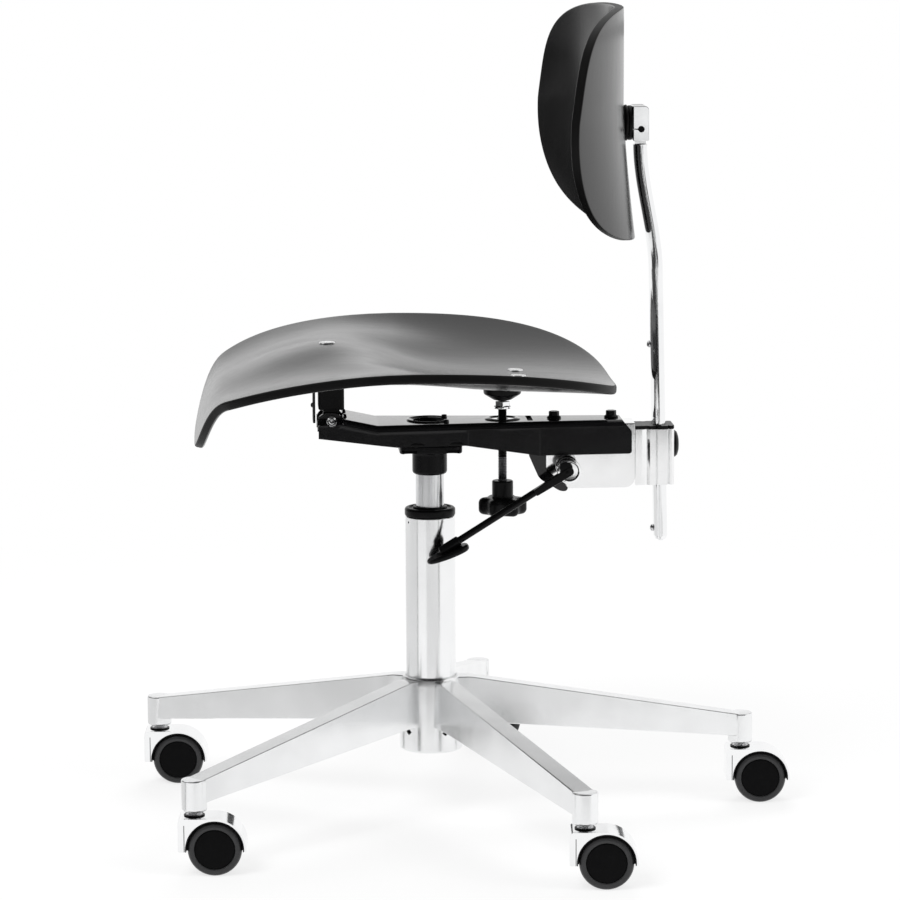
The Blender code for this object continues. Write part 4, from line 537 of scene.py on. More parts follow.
def buildBase():
    form = baseForm
    reach, outer, neck, floor = form["reach"], form["hubOuter"], form["hubNeck"], form["hubFloor"]
    hub = lathe([(form["bore"], form["hubTop"], 0.0006), (neck - 0.0008, form["hubTop"], 0.0016),
        (neck + 0.0006, form["rootTop"] - 0.006), (outer, form["rootBottom"]),
        (outer, form["hubBottom"], 0.0022), (form["hubHole"], form["hubBottom"], 0.0008),
        (form["hubHole"], floor), (form["bore"], floor)], 96)
    angles = [form["firstTurn"] + 360 * number / form["arms"] for number in range(form["arms"])]
    joins, cuts = [], []
    for angle in angles:
        post = lathe([(0, form["socketTop"]), (form["socket"], form["socketTop"], 0.0014),
            (form["socket"], form["socketBottom"], 0.0025), (0, form["socketBottom"])], 56)
        joins += [baseArm(angle), turn(shift(post, reach), angle)]
        hole = rod(form["stem"], form["stemTop"], 0.05, 24)
        reflectionPit = put(lathe([(0, 0.003), (0.004, 0), (0, -0.003)], 4), (1, 0, 0))  # pit under each root, painted black: painted reflection of the arm's dark underside
        sized(reflectionPit, 1, 1, 0.8)
        cuts += [turn(shift(hole, reach), angle), turn(shift(reflectionPit, outer, 0, form["reflectionPitZ"]), angle)]
    casting = carved(hub, [*cuts, rod(form["bore"], 0.2, floor, 96)], joins)
    # the pits take the black rubber finish: a painted dark reflection of each arm's underside in the
    # polished hub
    paint(casting, lambda spot: 0.0265 < spot.xy.length < outer - 0.0004
        and abs(spot.z - form["reflectionPitZ"]) < 0.004)
    dress("castBase", casting, "base", (polishedCast, softRubber), ["star_base"], 28)
    return angles


armAngles = buildBase()
print("base done")


# castors, drawn about the stem with the wheels trailing along +X

castorForm = {"heading": -3.4, "trail": 0.0197, "radius": 0.02585, "width": 0.0135, "web": 0.008,
    "gap": 0.001, "lining": 0.0012, "shell": 0.0018, "front": 0.015, "corner": 0.0048, "skirt": 0.002,
    "crease": 0.0056, "creaseWide": 0.0007, "brow": 0.003, "axle": 0.003, "capInset": 0.0066}


def buildCastors():
    form = castorForm
    trail, axle, front = form["trail"], form["radius"], -form["front"]
    inner = axle + form["gap"]
    lined = inner + form["lining"]
    outer = lined + form["shell"]
    half = form["web"] / 2 + form["width"] + 0.0006
    top, foot = axle + outer, axle - form["skirt"]

    def arch(radius, start, end, steps):
        turns = [math.radians(start + (end - start) * step / steps) for step in range(steps + 1)]
        return [(trail + radius * math.cos(t), axle + radius * math.sin(t)) for t in turns]

    def onBrow(edge):  # long edges over the top and down the back
        ends = [corner.co for corner in edge.verts]
        return (all(math.hypot(p.x - trail, p.z - axle) > outer - 1e-4 for p in ends)
            and all(p.x > trail - 0.004 or p.z > top - 0.005 for p in ends)
            and span(edge, 1) < 1e-5 and abs(ends[0].y) > half - 0.0112)

    hood = sidePlate([(trail + outer, foot), *arch(outer, 0, 90, 16), (front, top, 0.0042),
        (front, foot, 0.0015), (trail - lined, foot), *arch(lined, 180, 0, 30), (trail + lined, foot)],
        -half, half)
    soften(hood, form["corner"], 7, 60, lambda edge: max(v.co.x for v in edge.verts) < front + 1e-4
        and span(edge, 1) < 1e-5 and span(edge, 2) > 0.006)
    soften(hood, form["brow"], 5, 40, onBrow)
    soften(hood, 0.0006, 2, 40)
    at, wide = front + form["crease"], form["creaseWide"]  # groove between the front strip and the cheek, painted black below as painted shade
    cuts = [rod(0.0089, 0.08, 0.045, 32)]
    for side in (-1, 1):
        mark = sidePlate(boxed(at, foot - 0.002, at + wide, top - 0.006), -0.0006, 0.0006)
        cuts.append(shift(mark, y=side * half))
    hood = carved(hood, cuts)
    # the groove's faces take the black rubber finish: painted shade in the crease
    paint(hood, lambda spot: abs(spot.x - at - wide / 2) < 0.00045
        and half - 0.0007 < abs(spot.y) < half - 0.0001)

    reach = lined - 0.0002
    fender = sidePlate([(trail + reach, foot), *arch(reach, 0, 180, 30), (trail - reach, foot),
        (trail - inner, foot), *arch(inner, 180, 0, 30), (trail + inner, foot)],
        -half - 0.0002, half + 0.0002)
    web = sidePlate(arch(inner + 0.0006, -8, 188, 32), -form["web"] / 2, form["web"] / 2)
    pin = crossRod(form["axle"], half - 0.005, trail, axle, 24)
    seat = baseForm["socketBottom"] - clear
    stem = lathe([(0, 0.0862), (0.005, 0.0862, 0.001), (0.005, seat), (0.0064, seat, 0.0003),
        (0.0064, seat - 0.0012, 0.0003), (0.0056, seat - 0.0014), (0.0056, top + 0.0019),
        (0.0076, top + 0.0017, 0.0003), (0.0078, top + 0.0013), (0.01, top + 0.0011, 0.0003),
        (0.01, top + 0.0002, 0.0003), (0.0085, top + 0.0001), (0.0085, top - 0.006), (0, top - 0.006)], 48)
    fork = carved(fender, [], [web, pin, stem])
    paint(fork, lambda spot: spot.z > top and spot.xy.length < 0.0079)  # bright neck of the stem

    edge, cap, hole = form["width"], axle - form["capInset"], form["axle"] + clear
    wheel = lathe([(0, edge - 0.0008), (cap * 0.6, edge - 0.0006), (cap - 0.0008, edge - 0.0011, 0.0005),
        (cap, edge - 0.0016), (cap + 0.0004, edge - 0.0002, 0.0005), (axle - 0.0026, edge, 0.0016),
        (axle, edge - 0.003, 0.0022), (axle, 0.0008, 0.0006), (axle - 0.004, 0), (hole, 0),
        (hole, edge - 0.004), (0, edge - 0.004)], 80)
    paint(wheel, lambda spot: spot.xy.length < cap)
    wheels = {}
    for side, across in (("left", -1), ("right", 1)):
        wheels[side] = put(wheel.copy(), (0, across, 0), trail, across * (form["web"] / 2 + clear), axle)

    for number, angle in enumerate(armAngles, 1):
        spot = spun(angle, "Z") @ Vector((baseForm["reach"], 0, 0)) + Vector((axisX, axisY, 0))
        about = Matrix.Translation(spot) @ spun(form["heading"], "Z")
        dress(f"castorHood_{number}", hood.copy(), f"castor_{number}", (chromePlate, softRubber),
            [f"castor_hood_{number}"], about=about)
        dress(f"castorFork_{number}", fork.copy(), f"castor_{number}", (mouldedPlastic, zincSteel),
            [f"castor_frame_{number}"], about=about)
        for side, shape in wheels.items():
            dress(f"castorWheel_{number}_{side}", shape.copy(), f"wheel_{number}_{side}",
                (treadRubber, hubPlastic), [f"castor_wheel_{number}_{side}"], 40, about)


buildCastors()
print("castors done")


# column and gas lift

columnForm = {"outer": 0.025, "inner": 0.022, "top": 0.3043, "bottom": 0.0723, "collarTop": 0.3127,
    "collarLow": 0.2346, "slide": 0.0143, "cylinder": 0.014, "cylinderTop": 0.3772,
    "cylinderBottom": 0.1202, "sleeve": 0.0173, "sleeveBottom": 0.3462, "flangeTop": 0.3782,
    "flangeBottom": 0.3702, "flangeLong": 0.031, "flangeWide": 0.0325, "rodHole": 0.0053,
    "ventTurn": -152}


def buildColumn():
    form = columnForm
    outer, inner, top, bottom, hole = (form[part] for part in ("outer", "inner", "top", "bottom", "rodHole"))
    tube = lathe([(inner, top, 0.0006), (outer, top, 0.001), (outer, bottom), (hole, bottom),
        (hole, bottom + 0.004), (inner, bottom + 0.004)], 112)
    aside = spun(form["ventTurn"], "Z") @ Vector((outer, 0, 0))
    vent = put(rod(0.0011, 0.006, -0.006, 16), aside, aside.x, aside.y, top - 0.0052)
    dress("columnTube", carved(tube, [vent]), "base", columnChrome, ["column_tube"], 30)

    slide, high, rim, low = form["slide"], form["collarTop"], outer + 0.0002, top + clear
    collar = lathe([(slide, high + 0.0012, 0.0004), (0.0166, high + 0.0012, 0.0005), (0.0172, high - 0.001),
        (0.0205, high - 0.0012), (0.0212, high, 0.0004), (rim, high, 0.0024), (rim, low, 0.0014),
        (0.0217, low), (0.0217, form["collarLow"]), (slide, form["collarLow"])], 96)
    dress("columnCollar", collar, "base", mouldedPlastic, ["guide_bush"], 35)

    radius, tip, end = form["cylinder"], form["cylinderTop"], form["cylinderBottom"]
    neck = form["sleeveBottom"]
    body = lathe([(0, tip - 0.018), (boltHole, tip - 0.018), (boltHole, tip), (radius - 0.001, tip),
        (radius, neck), (radius, end, 0.001), (hole, end), (hole, end + 0.006), (0.011, end + 0.006),
        (0.011, tip - 0.037), (0, tip - 0.037)], 80)
    dress("gasCylinder", body, "upper", brushedTube, ["gas_cylinder"], 30)

    long, wide, sleeve = form["flangeLong"], form["flangeWide"], form["sleeve"]
    low, high = form["flangeBottom"], form["flangeTop"]
    flange = soften(planPlate(boxed(-long, -wide, long, wide, 0.009), low, high), 0.0014, 3, 50)
    socket = lathe([(0, high - 0.003), (sleeve + 0.003, high - 0.003), (sleeve + 0.003, low),
        (sleeve, low - 0.003, 0.0015), (sleeve, neck, 0.0035), (0, neck)], 72)
    cuts = [lathe([(0, 0.39), (0.0133, 0.39), (slide, neck), (slide, 0.33), (0, 0.33)], 48)]
    for side, near in ((-1, -1), (-1, 1), (1, -1), (1, 1)):
        dish = sized(lathe([(0, 0.004), (0.0085, 0.004), (0.0065, -0.0025), (0, -0.0025)], 36), 1, 0.6, 1)
        cuts.append(shift(dish, side * 0.0205, near * (wide - 0.003), low))
    housing = carved(flange, cuts, [socket])
    dress("taperHousing", housing, "upper", darkSteel, ["taper_housing"], 35)


buildColumn()
print("column done")


# folded seat carrier

carrierForm = {"wall": 0.003, "bend": 0.0062, "lean": 0.0175, "top": 0.4,
    "roof": ((-0.0865, 0.4072), (-0.053, 0.4), (0.1995, 0.4)),
    "widths": ((-0.05, 0.04), (0.107, 0.0255), (0.1995, 0.0205)),
    "floor": ((-0.111, 0.3885), (-0.034, 0.3785), (0.034, 0.3785), (0.107, 0.3665), (0.1995, 0.3665)),
    "stations": (-0.111, -0.099, -0.0865, -0.07, -0.053, -0.05, -0.034, 0, 0.034, 0.07, 0.1068, 0.1072, 0.15,
        0.185, 0.1995),
    "plateFront": -0.0865, "rear": 0.1995, "hingeX": -0.0975, "hingeZ": 0.403, "liftHole": 0.0168,
    "liftClip": 0.0228, "clipOpening": 48, "spindleX": 0.0725, "spindleHole": 0.012, "grommet": 0.0176,
    "seams": (0.0365, 0.1075), "seam": 0.0006, "shadeBosses": (-0.0155, 0.0235), "shadeBoss": (0.0092, 0.001, 0.0021),
    "shadeBossZ": 0.3803, "rockerX": 0.04, "rockerZ": 0.3895}


def fold(half, top, low, at):  # round the section, from one lower edge to the other
    bend = carrierForm["bend"]
    drop = top - bend
    spread = carrierForm["lean"] * (drop - low)  # the walls lean in a little towards the top
    if at <= 1:
        return -half - (1 - at) * spread, low + at * (drop - low)
    if at <= 2:
        swing = math.pi - (at - 1) * math.pi / 2
        return -half + bend + bend * math.cos(swing), drop + bend * math.sin(swing)
    if at <= 3:
        return (-half + bend) + (at - 2) * 2 * (half - bend), top
    if at <= 4:
        swing = math.pi / 2 - (at - 3) * math.pi / 2
        return half - bend + bend * math.cos(swing), drop + bend * math.sin(swing)
    return half + (at - 4) * spread, drop - (at - 4) * (drop - low)


def channelSheet():
    form = carrierForm
    stations = form["stations"]
    bends = [step / 6 for step in range(1, 7)]
    shares = [0, 0.5, 1] + [1 + b for b in bends] + [2.5, 3] + [3 + b for b in bends] + [4.5, 5]
    shape = gridOf(len(stations) - 1, len(shares) - 1)
    for corner in shape.verts:
        x = stations[round((corner.co.x + 0.5) * (len(stations) - 1))]
        at = shares[round((corner.co.y + 0.5) * (len(shares) - 1))]
        corner.co = (x, *fold(along(form["widths"], x), along(form["roof"], x), along(form["floor"], x), at))
    facedOut(shape)
    roof = next(face for face in shape.faces if abs(face.normal.z) > 0.99)
    if roof.normal.z < 0:
        bmesh.ops.reverse_faces(shape, faces=shape.faces)
    bmesh.ops.solidify(shape, geom=shape.faces[:], thickness=form["wall"])
    return shape


def holeRings():
    form = carrierForm
    hole, outer, top = form["liftHole"], form["liftClip"], form["top"]
    clip = lathe([(hole - 0.0004, -0.0015), (hole - 0.0004, -0.0002), (hole + 0.0042, 0.0016, 0.0004),
        (outer, 0.001, 0.0004), (outer, -0.0015)], 96)
    swing, far = math.radians(form["clipOpening"]), 0.05
    wayX, wayY = math.cos(swing), math.sin(swing)
    opening = [(0, 0), (far * wayX, -far * wayY), (far, -far), (far, far), (far * wayX, far * wayY)]
    clip = carved(clip, [planPlate(opening, -0.005, 0.005)])
    outer += 0.0006
    for side in (-1, 1):  # lugs at the ends of the clip
        lug = lathe([(0, 0.003), (0.0026, 0.0026, 0.0006), (0.003, -0.0015), (0, -0.0015)], 24)
        clip = carved(clip, [], [shift(lug, outer * wayX, side * outer * wayY)])
    hole, outer = form["spindleHole"], form["grommet"]
    grommet = lathe([(hole - 0.0003, -0.002), (hole - 0.0003, 0.0006), (hole + 0.0016, 0.0016, 0.0004),
        (outer, 0.0008, 0.0004), (outer, -0.002)], 72)
    return [shift(clip, z=top), shift(grommet, form["spindleX"], z=top)]


def buildCarrier():
    form = carrierForm
    wall, back, rear, spindleX = form["wall"], form["plateFront"], form["rear"], form["spindleX"]
    hinge = form["hingeX"], form["hingeZ"]
    joins = holeRings()
    for side in (-1, 1):  # hinge ears
        ear = sidePlate([(-0.1115, 0.3925), (-0.1115, 0.4106, 0.0092), (-0.0868, 0.4106, 0.0092),
            (-0.0862, 0.404), (-0.0856, 0.41, 0.0006), (-0.0832, 0.41, 0.0012), (-0.082, 0.404),
            (-0.076, 0.403), (-0.076, 0.3925)], 0, wall, 7)
        joins.append(shift(ear, y=side * 0.018 - (wall if side > 0 else 0)))
    outer = clear - along(form["widths"], 0.107)
    joins.append(sidePlate([(0.097, 0.3725), (0.097, 0.3665), (0.107, 0.3435, 0.004), (0.128, 0.3305, 0.003),
        (0.1354, 0.3305, 0.0034), (0.1354, 0.3345, 0.003), (0.114, 0.3505, 0.003), (0.114, 0.3725)],
        outer, outer + 0.0024))  # lever gusset
    notch = [(-0.13, -0.0368), (back, -0.0368, 0.004), (back, 0.0368, 0.004), (-0.13, 0.0368)]
    brow = [(-0.13, 0.401), (back - 0.0002, 0.4028), (back - 0.0002, 0.43), (-0.13, 0.43)]
    tail = [(rear - 0.011, 0.402), (0.202, 0.402), (0.202, 0.3865), (rear, 0.389)]
    curve, low = 0.003, 0.3665  # lower rear corner
    turns = [math.radians(-15 * step) for step in range(7)]
    arc = [(rear - curve + curve * math.cos(t), low + curve + curve * math.sin(t)) for t in turns]
    corner = [*arc, (rear - curve, 0.364), (0.202, 0.364), (0.202, low + curve)]
    cuts = [planPlate(notch, 0.37, 0.43), sidePlate(brow, -0.06, 0.06), sidePlate(tail, -0.05, 0.05),
        rod(form["liftHole"], 0.41, 0.39, 72), shift(rod(form["spindleHole"], 0.41, 0.39, 64), spindleX),
        planPlate(boxed(0.0965, -0.0145, 0.102, 0.0195, 0.0014), 0.39, 0.41), sidePlate(corner, -0.05, 0.05)]
    for x in form["seams"]:
        wide = along(form["widths"], x)
        for side in (-1, 1):
            seam = boxed(x, side * (wide + 0.001), x + form["seam"], side * (wide - 0.0007))
            cuts.append(planPlate(seam, 0.36, 0.3935))
    channel = carved(carved(channelSheet(), cuts), [crossRod(boltHole, 0.05, *hinge)], joins)
    for x in form["shadeBosses"]:  # black bosses low on both walls, painted black as painted shade of shallow recesses
        for side in (-1, 1):
            shadeBoss = paint(lathe([(0, 1), (0.6, 0.8), (1, 0), (0.6, -0.8), (0, -1)], 28))
            sized(shadeBoss, *form["shadeBoss"])
            joined(channel, shift(shadeBoss, x, side * along(form["widths"], x), form["shadeBossZ"]))
    joined(channel, put(rod(0.0025, 0.0306, 0.0115, 20), (0, -1, 0), form["rockerX"], 0, form["rockerZ"]))
    washer = lathe([(0.0056, 0.4004), (0.0119, 0.4004), (0.0119, 0.398), (0.0056, 0.398)], 48)
    joined(channel, shift(paint(washer, index=2), spindleX))  # bright washer round the screw
    dress("seatCarrier", channel, "upper", (glossPaint, softRubber, chromePlate),
        ["seat_carrier"], 30)

    end = [(0, 0.0232), (0.0022, 0.023), (0.003, 0.0222, 0.0003), (0.003, 0.0208), (0.005, 0.0206, 0.0004),
        (0.00525, 0.0192, 0.0003), (0.00525, 0.0185), (0.003, 0.0185)]
    bolt = put(lathe(end + mirrored(end), 40), (0, 1, 0), hinge[0], 0, hinge[1])
    dress("hingeBolt", bolt, "upper", chromePlate, ["hinge_bolt"], 30)


buildCarrier()
print("carrier done")


# front hinge, under the seat

hingeForm = {"half": 0.0144, "long": 0.0128, "bottom": 0.4128, "lug": 0.008, "lugLow": 0.395,
    "lugHalf": 0.0141, "strapX": -0.1133, "strap": 0.0024, "strapLow": 0.4, "strapHalf": 0.012,
    "rivetZ": 0.4165}


def underSeat(lowX, highX, half, bottom, cells):
    shape = gridOf(cells, cells)
    for corner in shape.verts:
        x, y = lowX + (highX - lowX) * (corner.co.x + 0.5), 2 * half * corner.co.y
        corner.co = (x, y, seatUnder(x, y) - clear)
    for corner in push(shape, (0, 0, 0)):
        corner.co.z = bottom
    return shape


def buildFrontHinge():
    form = hingeForm
    middle, bottom, lug, strapX = carrierForm["hingeX"], form["bottom"], form["lug"], form["strapX"]
    body = underSeat(middle - form["long"], middle + form["long"], form["half"], bottom, 8)
    soften(body, 0.003, 4, 50, lambda edge: span(edge, 2) > 0.004)
    soften(body, 0.0032, 4, 50, lambda edge: max(v.co.z for v in edge.verts) < bottom + 1e-5)
    tongue = sidePlate([(middle - lug, bottom + 0.004), (middle - lug, form["lugLow"], 0.0075),
        (middle + lug, form["lugLow"], 0.0075), (middle + lug, bottom + 0.004)],
        -form["lugHalf"], form["lugHalf"], 8)
    block = carved(body, [crossRod(boltHole, 0.03, middle, carrierForm["hingeZ"])], [tongue])
    dress("hingeBlock", block, "seat", mouldedPlastic, ["front_block"])
    strap = underSeat(strapX - form["strap"], strapX, form["strapHalf"], form["strapLow"], 4)
    soften(strap, 0.0007, 2, 50)
    rivet = lathe([(0, 0.0042), (0.0016, 0.0038), (0.0026, 0.0026, 0.0006), (0.0026, 0), (0, 0)], 28)
    put(rivet, (-1, 0, 0), strapX - 0.0002, 0, form["rivetZ"])
    dress("hingeStrap", carved(strap, [], [rivet]), "seat", mouldedPlastic, ["hinge_strap"])


buildFrontHinge()
print("front hinge done")


# tilt spindle

spindleForm = {"screw": 0.0044, "thread": 0.0005, "pitch": 0.0016, "length": 0.09, "star": 0.024,
    "lobes": 6, "lobeDepth": 0.005, "starHigh": 0.017, "hub": 0.0105, "hubHigh": 0.0172,
    "hubGrip": 0.0117, "greyBelow": 0.3615, "nut": 0.0082, "coneHigh": 0.0175}


def buildSpindle():
    form = spindleForm
    x, coneHigh, radius, pitch = carrierForm["spindleX"], form["coneHigh"], form["screw"], form["pitch"]
    top = seatUnder(x, 0)
    cone = lathe([(0, -0.0004), (0.0318, -0.0004), (0.0318, -0.0022, 0.0006), (0.019, -0.004, 0.0008),
        (0.0186, -0.0115, 0.0012), (0.009, -coneHigh, 0.0006), (0, -coneHigh)], 72)
    paint(cone, lambda spot: spot.z > -0.003)
    roof = sheet(24, seatMap, seatDown, seatForm["thick"] + clear, 0.002)
    plate = carved(shift(cone, x, z=top), [roof])
    dress("spindlePlate", plate, "seat", (mouldedPlastic, zincSteel), ["spindle_plate"])

    high = top - coneHigh - 0.0006
    nut = soften(planPlate(hexagon(form["nut"], 30), -0.006, -0.0008), 0.0006, 2, 40)
    dome = lathe([(0, 0), (0.003, 0), (0.0066, -0.0016), (0.0066, -0.003), (0, -0.003)], 40)
    foot = lathe([(0, -0.005), (0.007, -0.005), (0.0086, -0.006, 0.0003), (0.0086, -0.0082, 0.0004),
        (0, -0.0082)], 48)
    nut = carved(nut, [rod(radius + clear, -0.002, -0.02, 32)], [dome, foot])
    dress("spindleNut", shift(nut, x, z=high), "spindle_head", chromePlate, ["spindle_nut"])

    high -= 0.002 + clear
    low = high - form["length"]
    profile = [(0, high), (radius, high)]
    count = int((form["length"] - 0.014) / pitch)
    for ring in range(count):
        crest = high - 0.002 - ring * pitch
        profile += [(radius, crest), (radius - form["thread"], crest - pitch * 0.5)]
    thread = lathe(profile + [(radius, high - 0.002 - count * pitch), (radius, low), (0, low)], 32)
    paint(thread, lambda spot: spot.z < form["greyBelow"])
    dress("tiltScrew", shift(thread, x), "spindle", (darkSteel, threadSteel),
        ["tilt_spindle"], 20)

    def starOutline(angle):
        reach = form["star"] - form["lobeDepth"] / 2 * (1 - math.cos(form["lobes"] * angle))
        return reach * math.cos(angle), reach * math.sin(angle)

    hubTop, hub = low + form["hubGrip"], form["hub"]
    starTop = hubTop - form["hubHigh"]
    knob = pad(96, starOutline, starTop, starTop - form["starHigh"], 0.0068, 7)
    boss = lathe([(0, hubTop), (hub, hubTop, 0.0014), (hub, starTop - 0.002), (0, starTop - 0.002)], 56)
    knob = carved(knob, [rod(radius + clear, hubTop + 0.01, low - clear, 32)], [boss])
    dress("starKnob", shift(knob, x), "spindle", mouldedPlastic, ["star_knob"])


buildSpindle()
print("tilt spindle done")


# back bracket, clamp and post

postForm = {"thick": 0.014, "wide": 0.026, "footX": 0.2303, "bottom": 0.277, "top": 0.6718,
    "lean": 0.0196, "bendStart": 0.548, "bendLong": 0.12, "bendOffset": 0.0134, "pinZ": 0.6872,
    "sides": 96, "grooveX": -0.0021, "groove": 0.0013, "grooveWide": 0.0007, "grooveEnd": 0.4,
    "foot": 0.005, "stops": {"upper": 0.473, "lower": 0.288}}


def postMiddle(z):
    form = postForm
    share = min(max((z - form["bendStart"]) / form["bendLong"], 0), 1)
    offset = form["bendOffset"] * share * share * (3 - 2 * share)
    return form["footX"] - form["lean"] * (z - form["bottom"]) - offset


def postRing(shape, z, thick, wide, groove=0):
    form = postForm
    ring = bmesh.ops.create_circle(shape, radius=1, segments=form["sides"])["verts"]
    for corner in ring:
        angle = math.atan2(corner.co.y, corner.co.x)
        x = thick / 2 * math.cos(angle)
        notch = groove * bell(x - form["grooveX"], form["grooveWide"])  # line between the two lobes
        corner.co = (postMiddle(z) + x, (wide / 2 - notch) * powered(math.sin(angle), 0.9), z)
    return [edge for edge in shape.edges if edge.verts[0] in ring and edge.verts[1] in ring]


def postRun(stations):
    shape = bmesh.new()
    return skin(shape, [postRing(shape, *station) for station in stations])


def postBore(low, high):
    thick, wide = postForm["thick"] + 2 * clear, postForm["wide"] + 2 * clear
    return postRun([(z, thick, wide) for z in (low - 0.007, high + 0.007)])


bracketForm = {"half": 0.0172, "wall": 0.003, "front": 0.1093, "rear": 0.203, "bottom": 0.332,
    "top": 0.3967, "clampFront": 0.2033, "clampRear": 0.2423, "clampTop": 0.39, "clampLow": 0.334,
    "clampHalf": 0.018, "groove": 0.0016, "knobZ": 0.373, "capHigh": 0.003, "leverX": 0.135,
    "leverZ": 0.354, "leverHole": 0.0053, "bolts": {"front": 0.1239, "rear": 0.1808}, "boltHead": 0.0054}


def buildBracket():
    form = bracketForm
    front, rear, bottom, top = form["front"], form["rear"], form["bottom"], form["top"]
    body = sidePlate([(front, top), (front, bottom + 0.0112), (front + 0.016, bottom, 0.004),
        (rear, bottom, 0.01), (rear, top)], -form["half"], form["half"], 8)
    soften(body, 0.0016, 3, 50, lambda edge: min(v.co.z for v in edge.verts) > top - 1e-4
        and span(edge, 0) > 0)
    inside = form["half"] - form["wall"]
    hollow = boxed(front - 0.003, bottom - 0.003, rear + 0.003, top - form["wall"])
    cuts = [sidePlate(hollow, -inside, inside),
        crossRod(form["leverHole"], 0.05, form["leverX"], form["leverZ"], 32)]
    cuts += [shift(rod(boltHole, 0.41, 0.385, 24), x) for x in form["bolts"].values()]
    bracket = soften(carved(body, cuts), 0.0005, 2, 60)
    dress("backBracket", bracket, "upper", satinBracket, ["back_bracket"])

    for name, x in form["bolts"].items():
        head = soften(planPlate(hexagon(form["boltHead"]), 0.4018, 0.4072), 0.0007, 2, 40)
        flange = lathe([(0, 0.4028), (0.0052, 0.4028), (0.0071, 0.4014, 0.0004), (0.0071, 0.4003, 0.0002),
            (0.003, 0.4003), (0.003, 0.3885), (0, 0.3885)], 48)
        dress("carrierBolt_" + name, shift(carved(flange, [], [head]), x), "upper", darkSteel,
            ["carrier_bolt_" + name])

    wide, start, end = form["clampHalf"], form["clampFront"], form["clampRear"]
    narrow, first, second = wide - form["groove"], start + 0.0117, start + 0.0332
    near = [(start, narrow), (first - 0.003, narrow), (first - 0.0004, narrow - 0.0013, 0.0006),
        (first + 0.0006, narrow - 0.001), (first + 0.003, wide - 0.0006), (first + 0.0088, wide - 0.0006),
        (first + 0.0093, wide - 0.0026), (first + 0.0099, wide - 0.0026), (first + 0.0104, wide),
        (second - 0.001, wide, 0.0005), (second - 0.0004, narrow - 0.002), (second + 0.0004, narrow - 0.002),
        (second + 0.001, narrow), (end, narrow, 0.0022)]
    plan = near + mirrored(near)
    knobX = postMiddle(form["knobZ"])
    screw = put(rod(boltHole, 0.26, knobX, 24), (1, 0, 0), 0, 0, form["knobZ"])
    clamp = soften(planPlate(plan, form["clampLow"], form["clampTop"], 3), 0.0006, 2, 60)
    clamp = carved(clamp, [postBore(form["clampLow"], form["clampTop"]), screw])
    dress("postClamp", clamp, "upper", satinBracket, ["post_clamp"])
    low = form["clampTop"] + clear
    cap = soften(planPlate(plan, low, low + form["capHigh"], 3), 0.0005, 2, 60)
    cap = carved(cap, [postBore(low, low + form["capHigh"])])
    dress("clampCap", cap, "upper", mouldedPlastic, ["clamp_cap"])

    tip = knobX + postForm["thick"] / 2 + 0.0006 - end - clear
    knob = lathe([(0, 0.0056), (0.0075, 0.0052), (0.0116, 0.0039), (0.0136, 0.0016, 0.0006),
        (0.0136, 0, 0.0004), (0.003, 0), (0.003, tip), (0, tip)], 64)
    put(knob, (1, 0, 0), end + clear, 0, form["knobZ"])
    dress("clampKnob", knob, "clamp_knob", mouldedPlastic, ["clamp_knob"], 40)


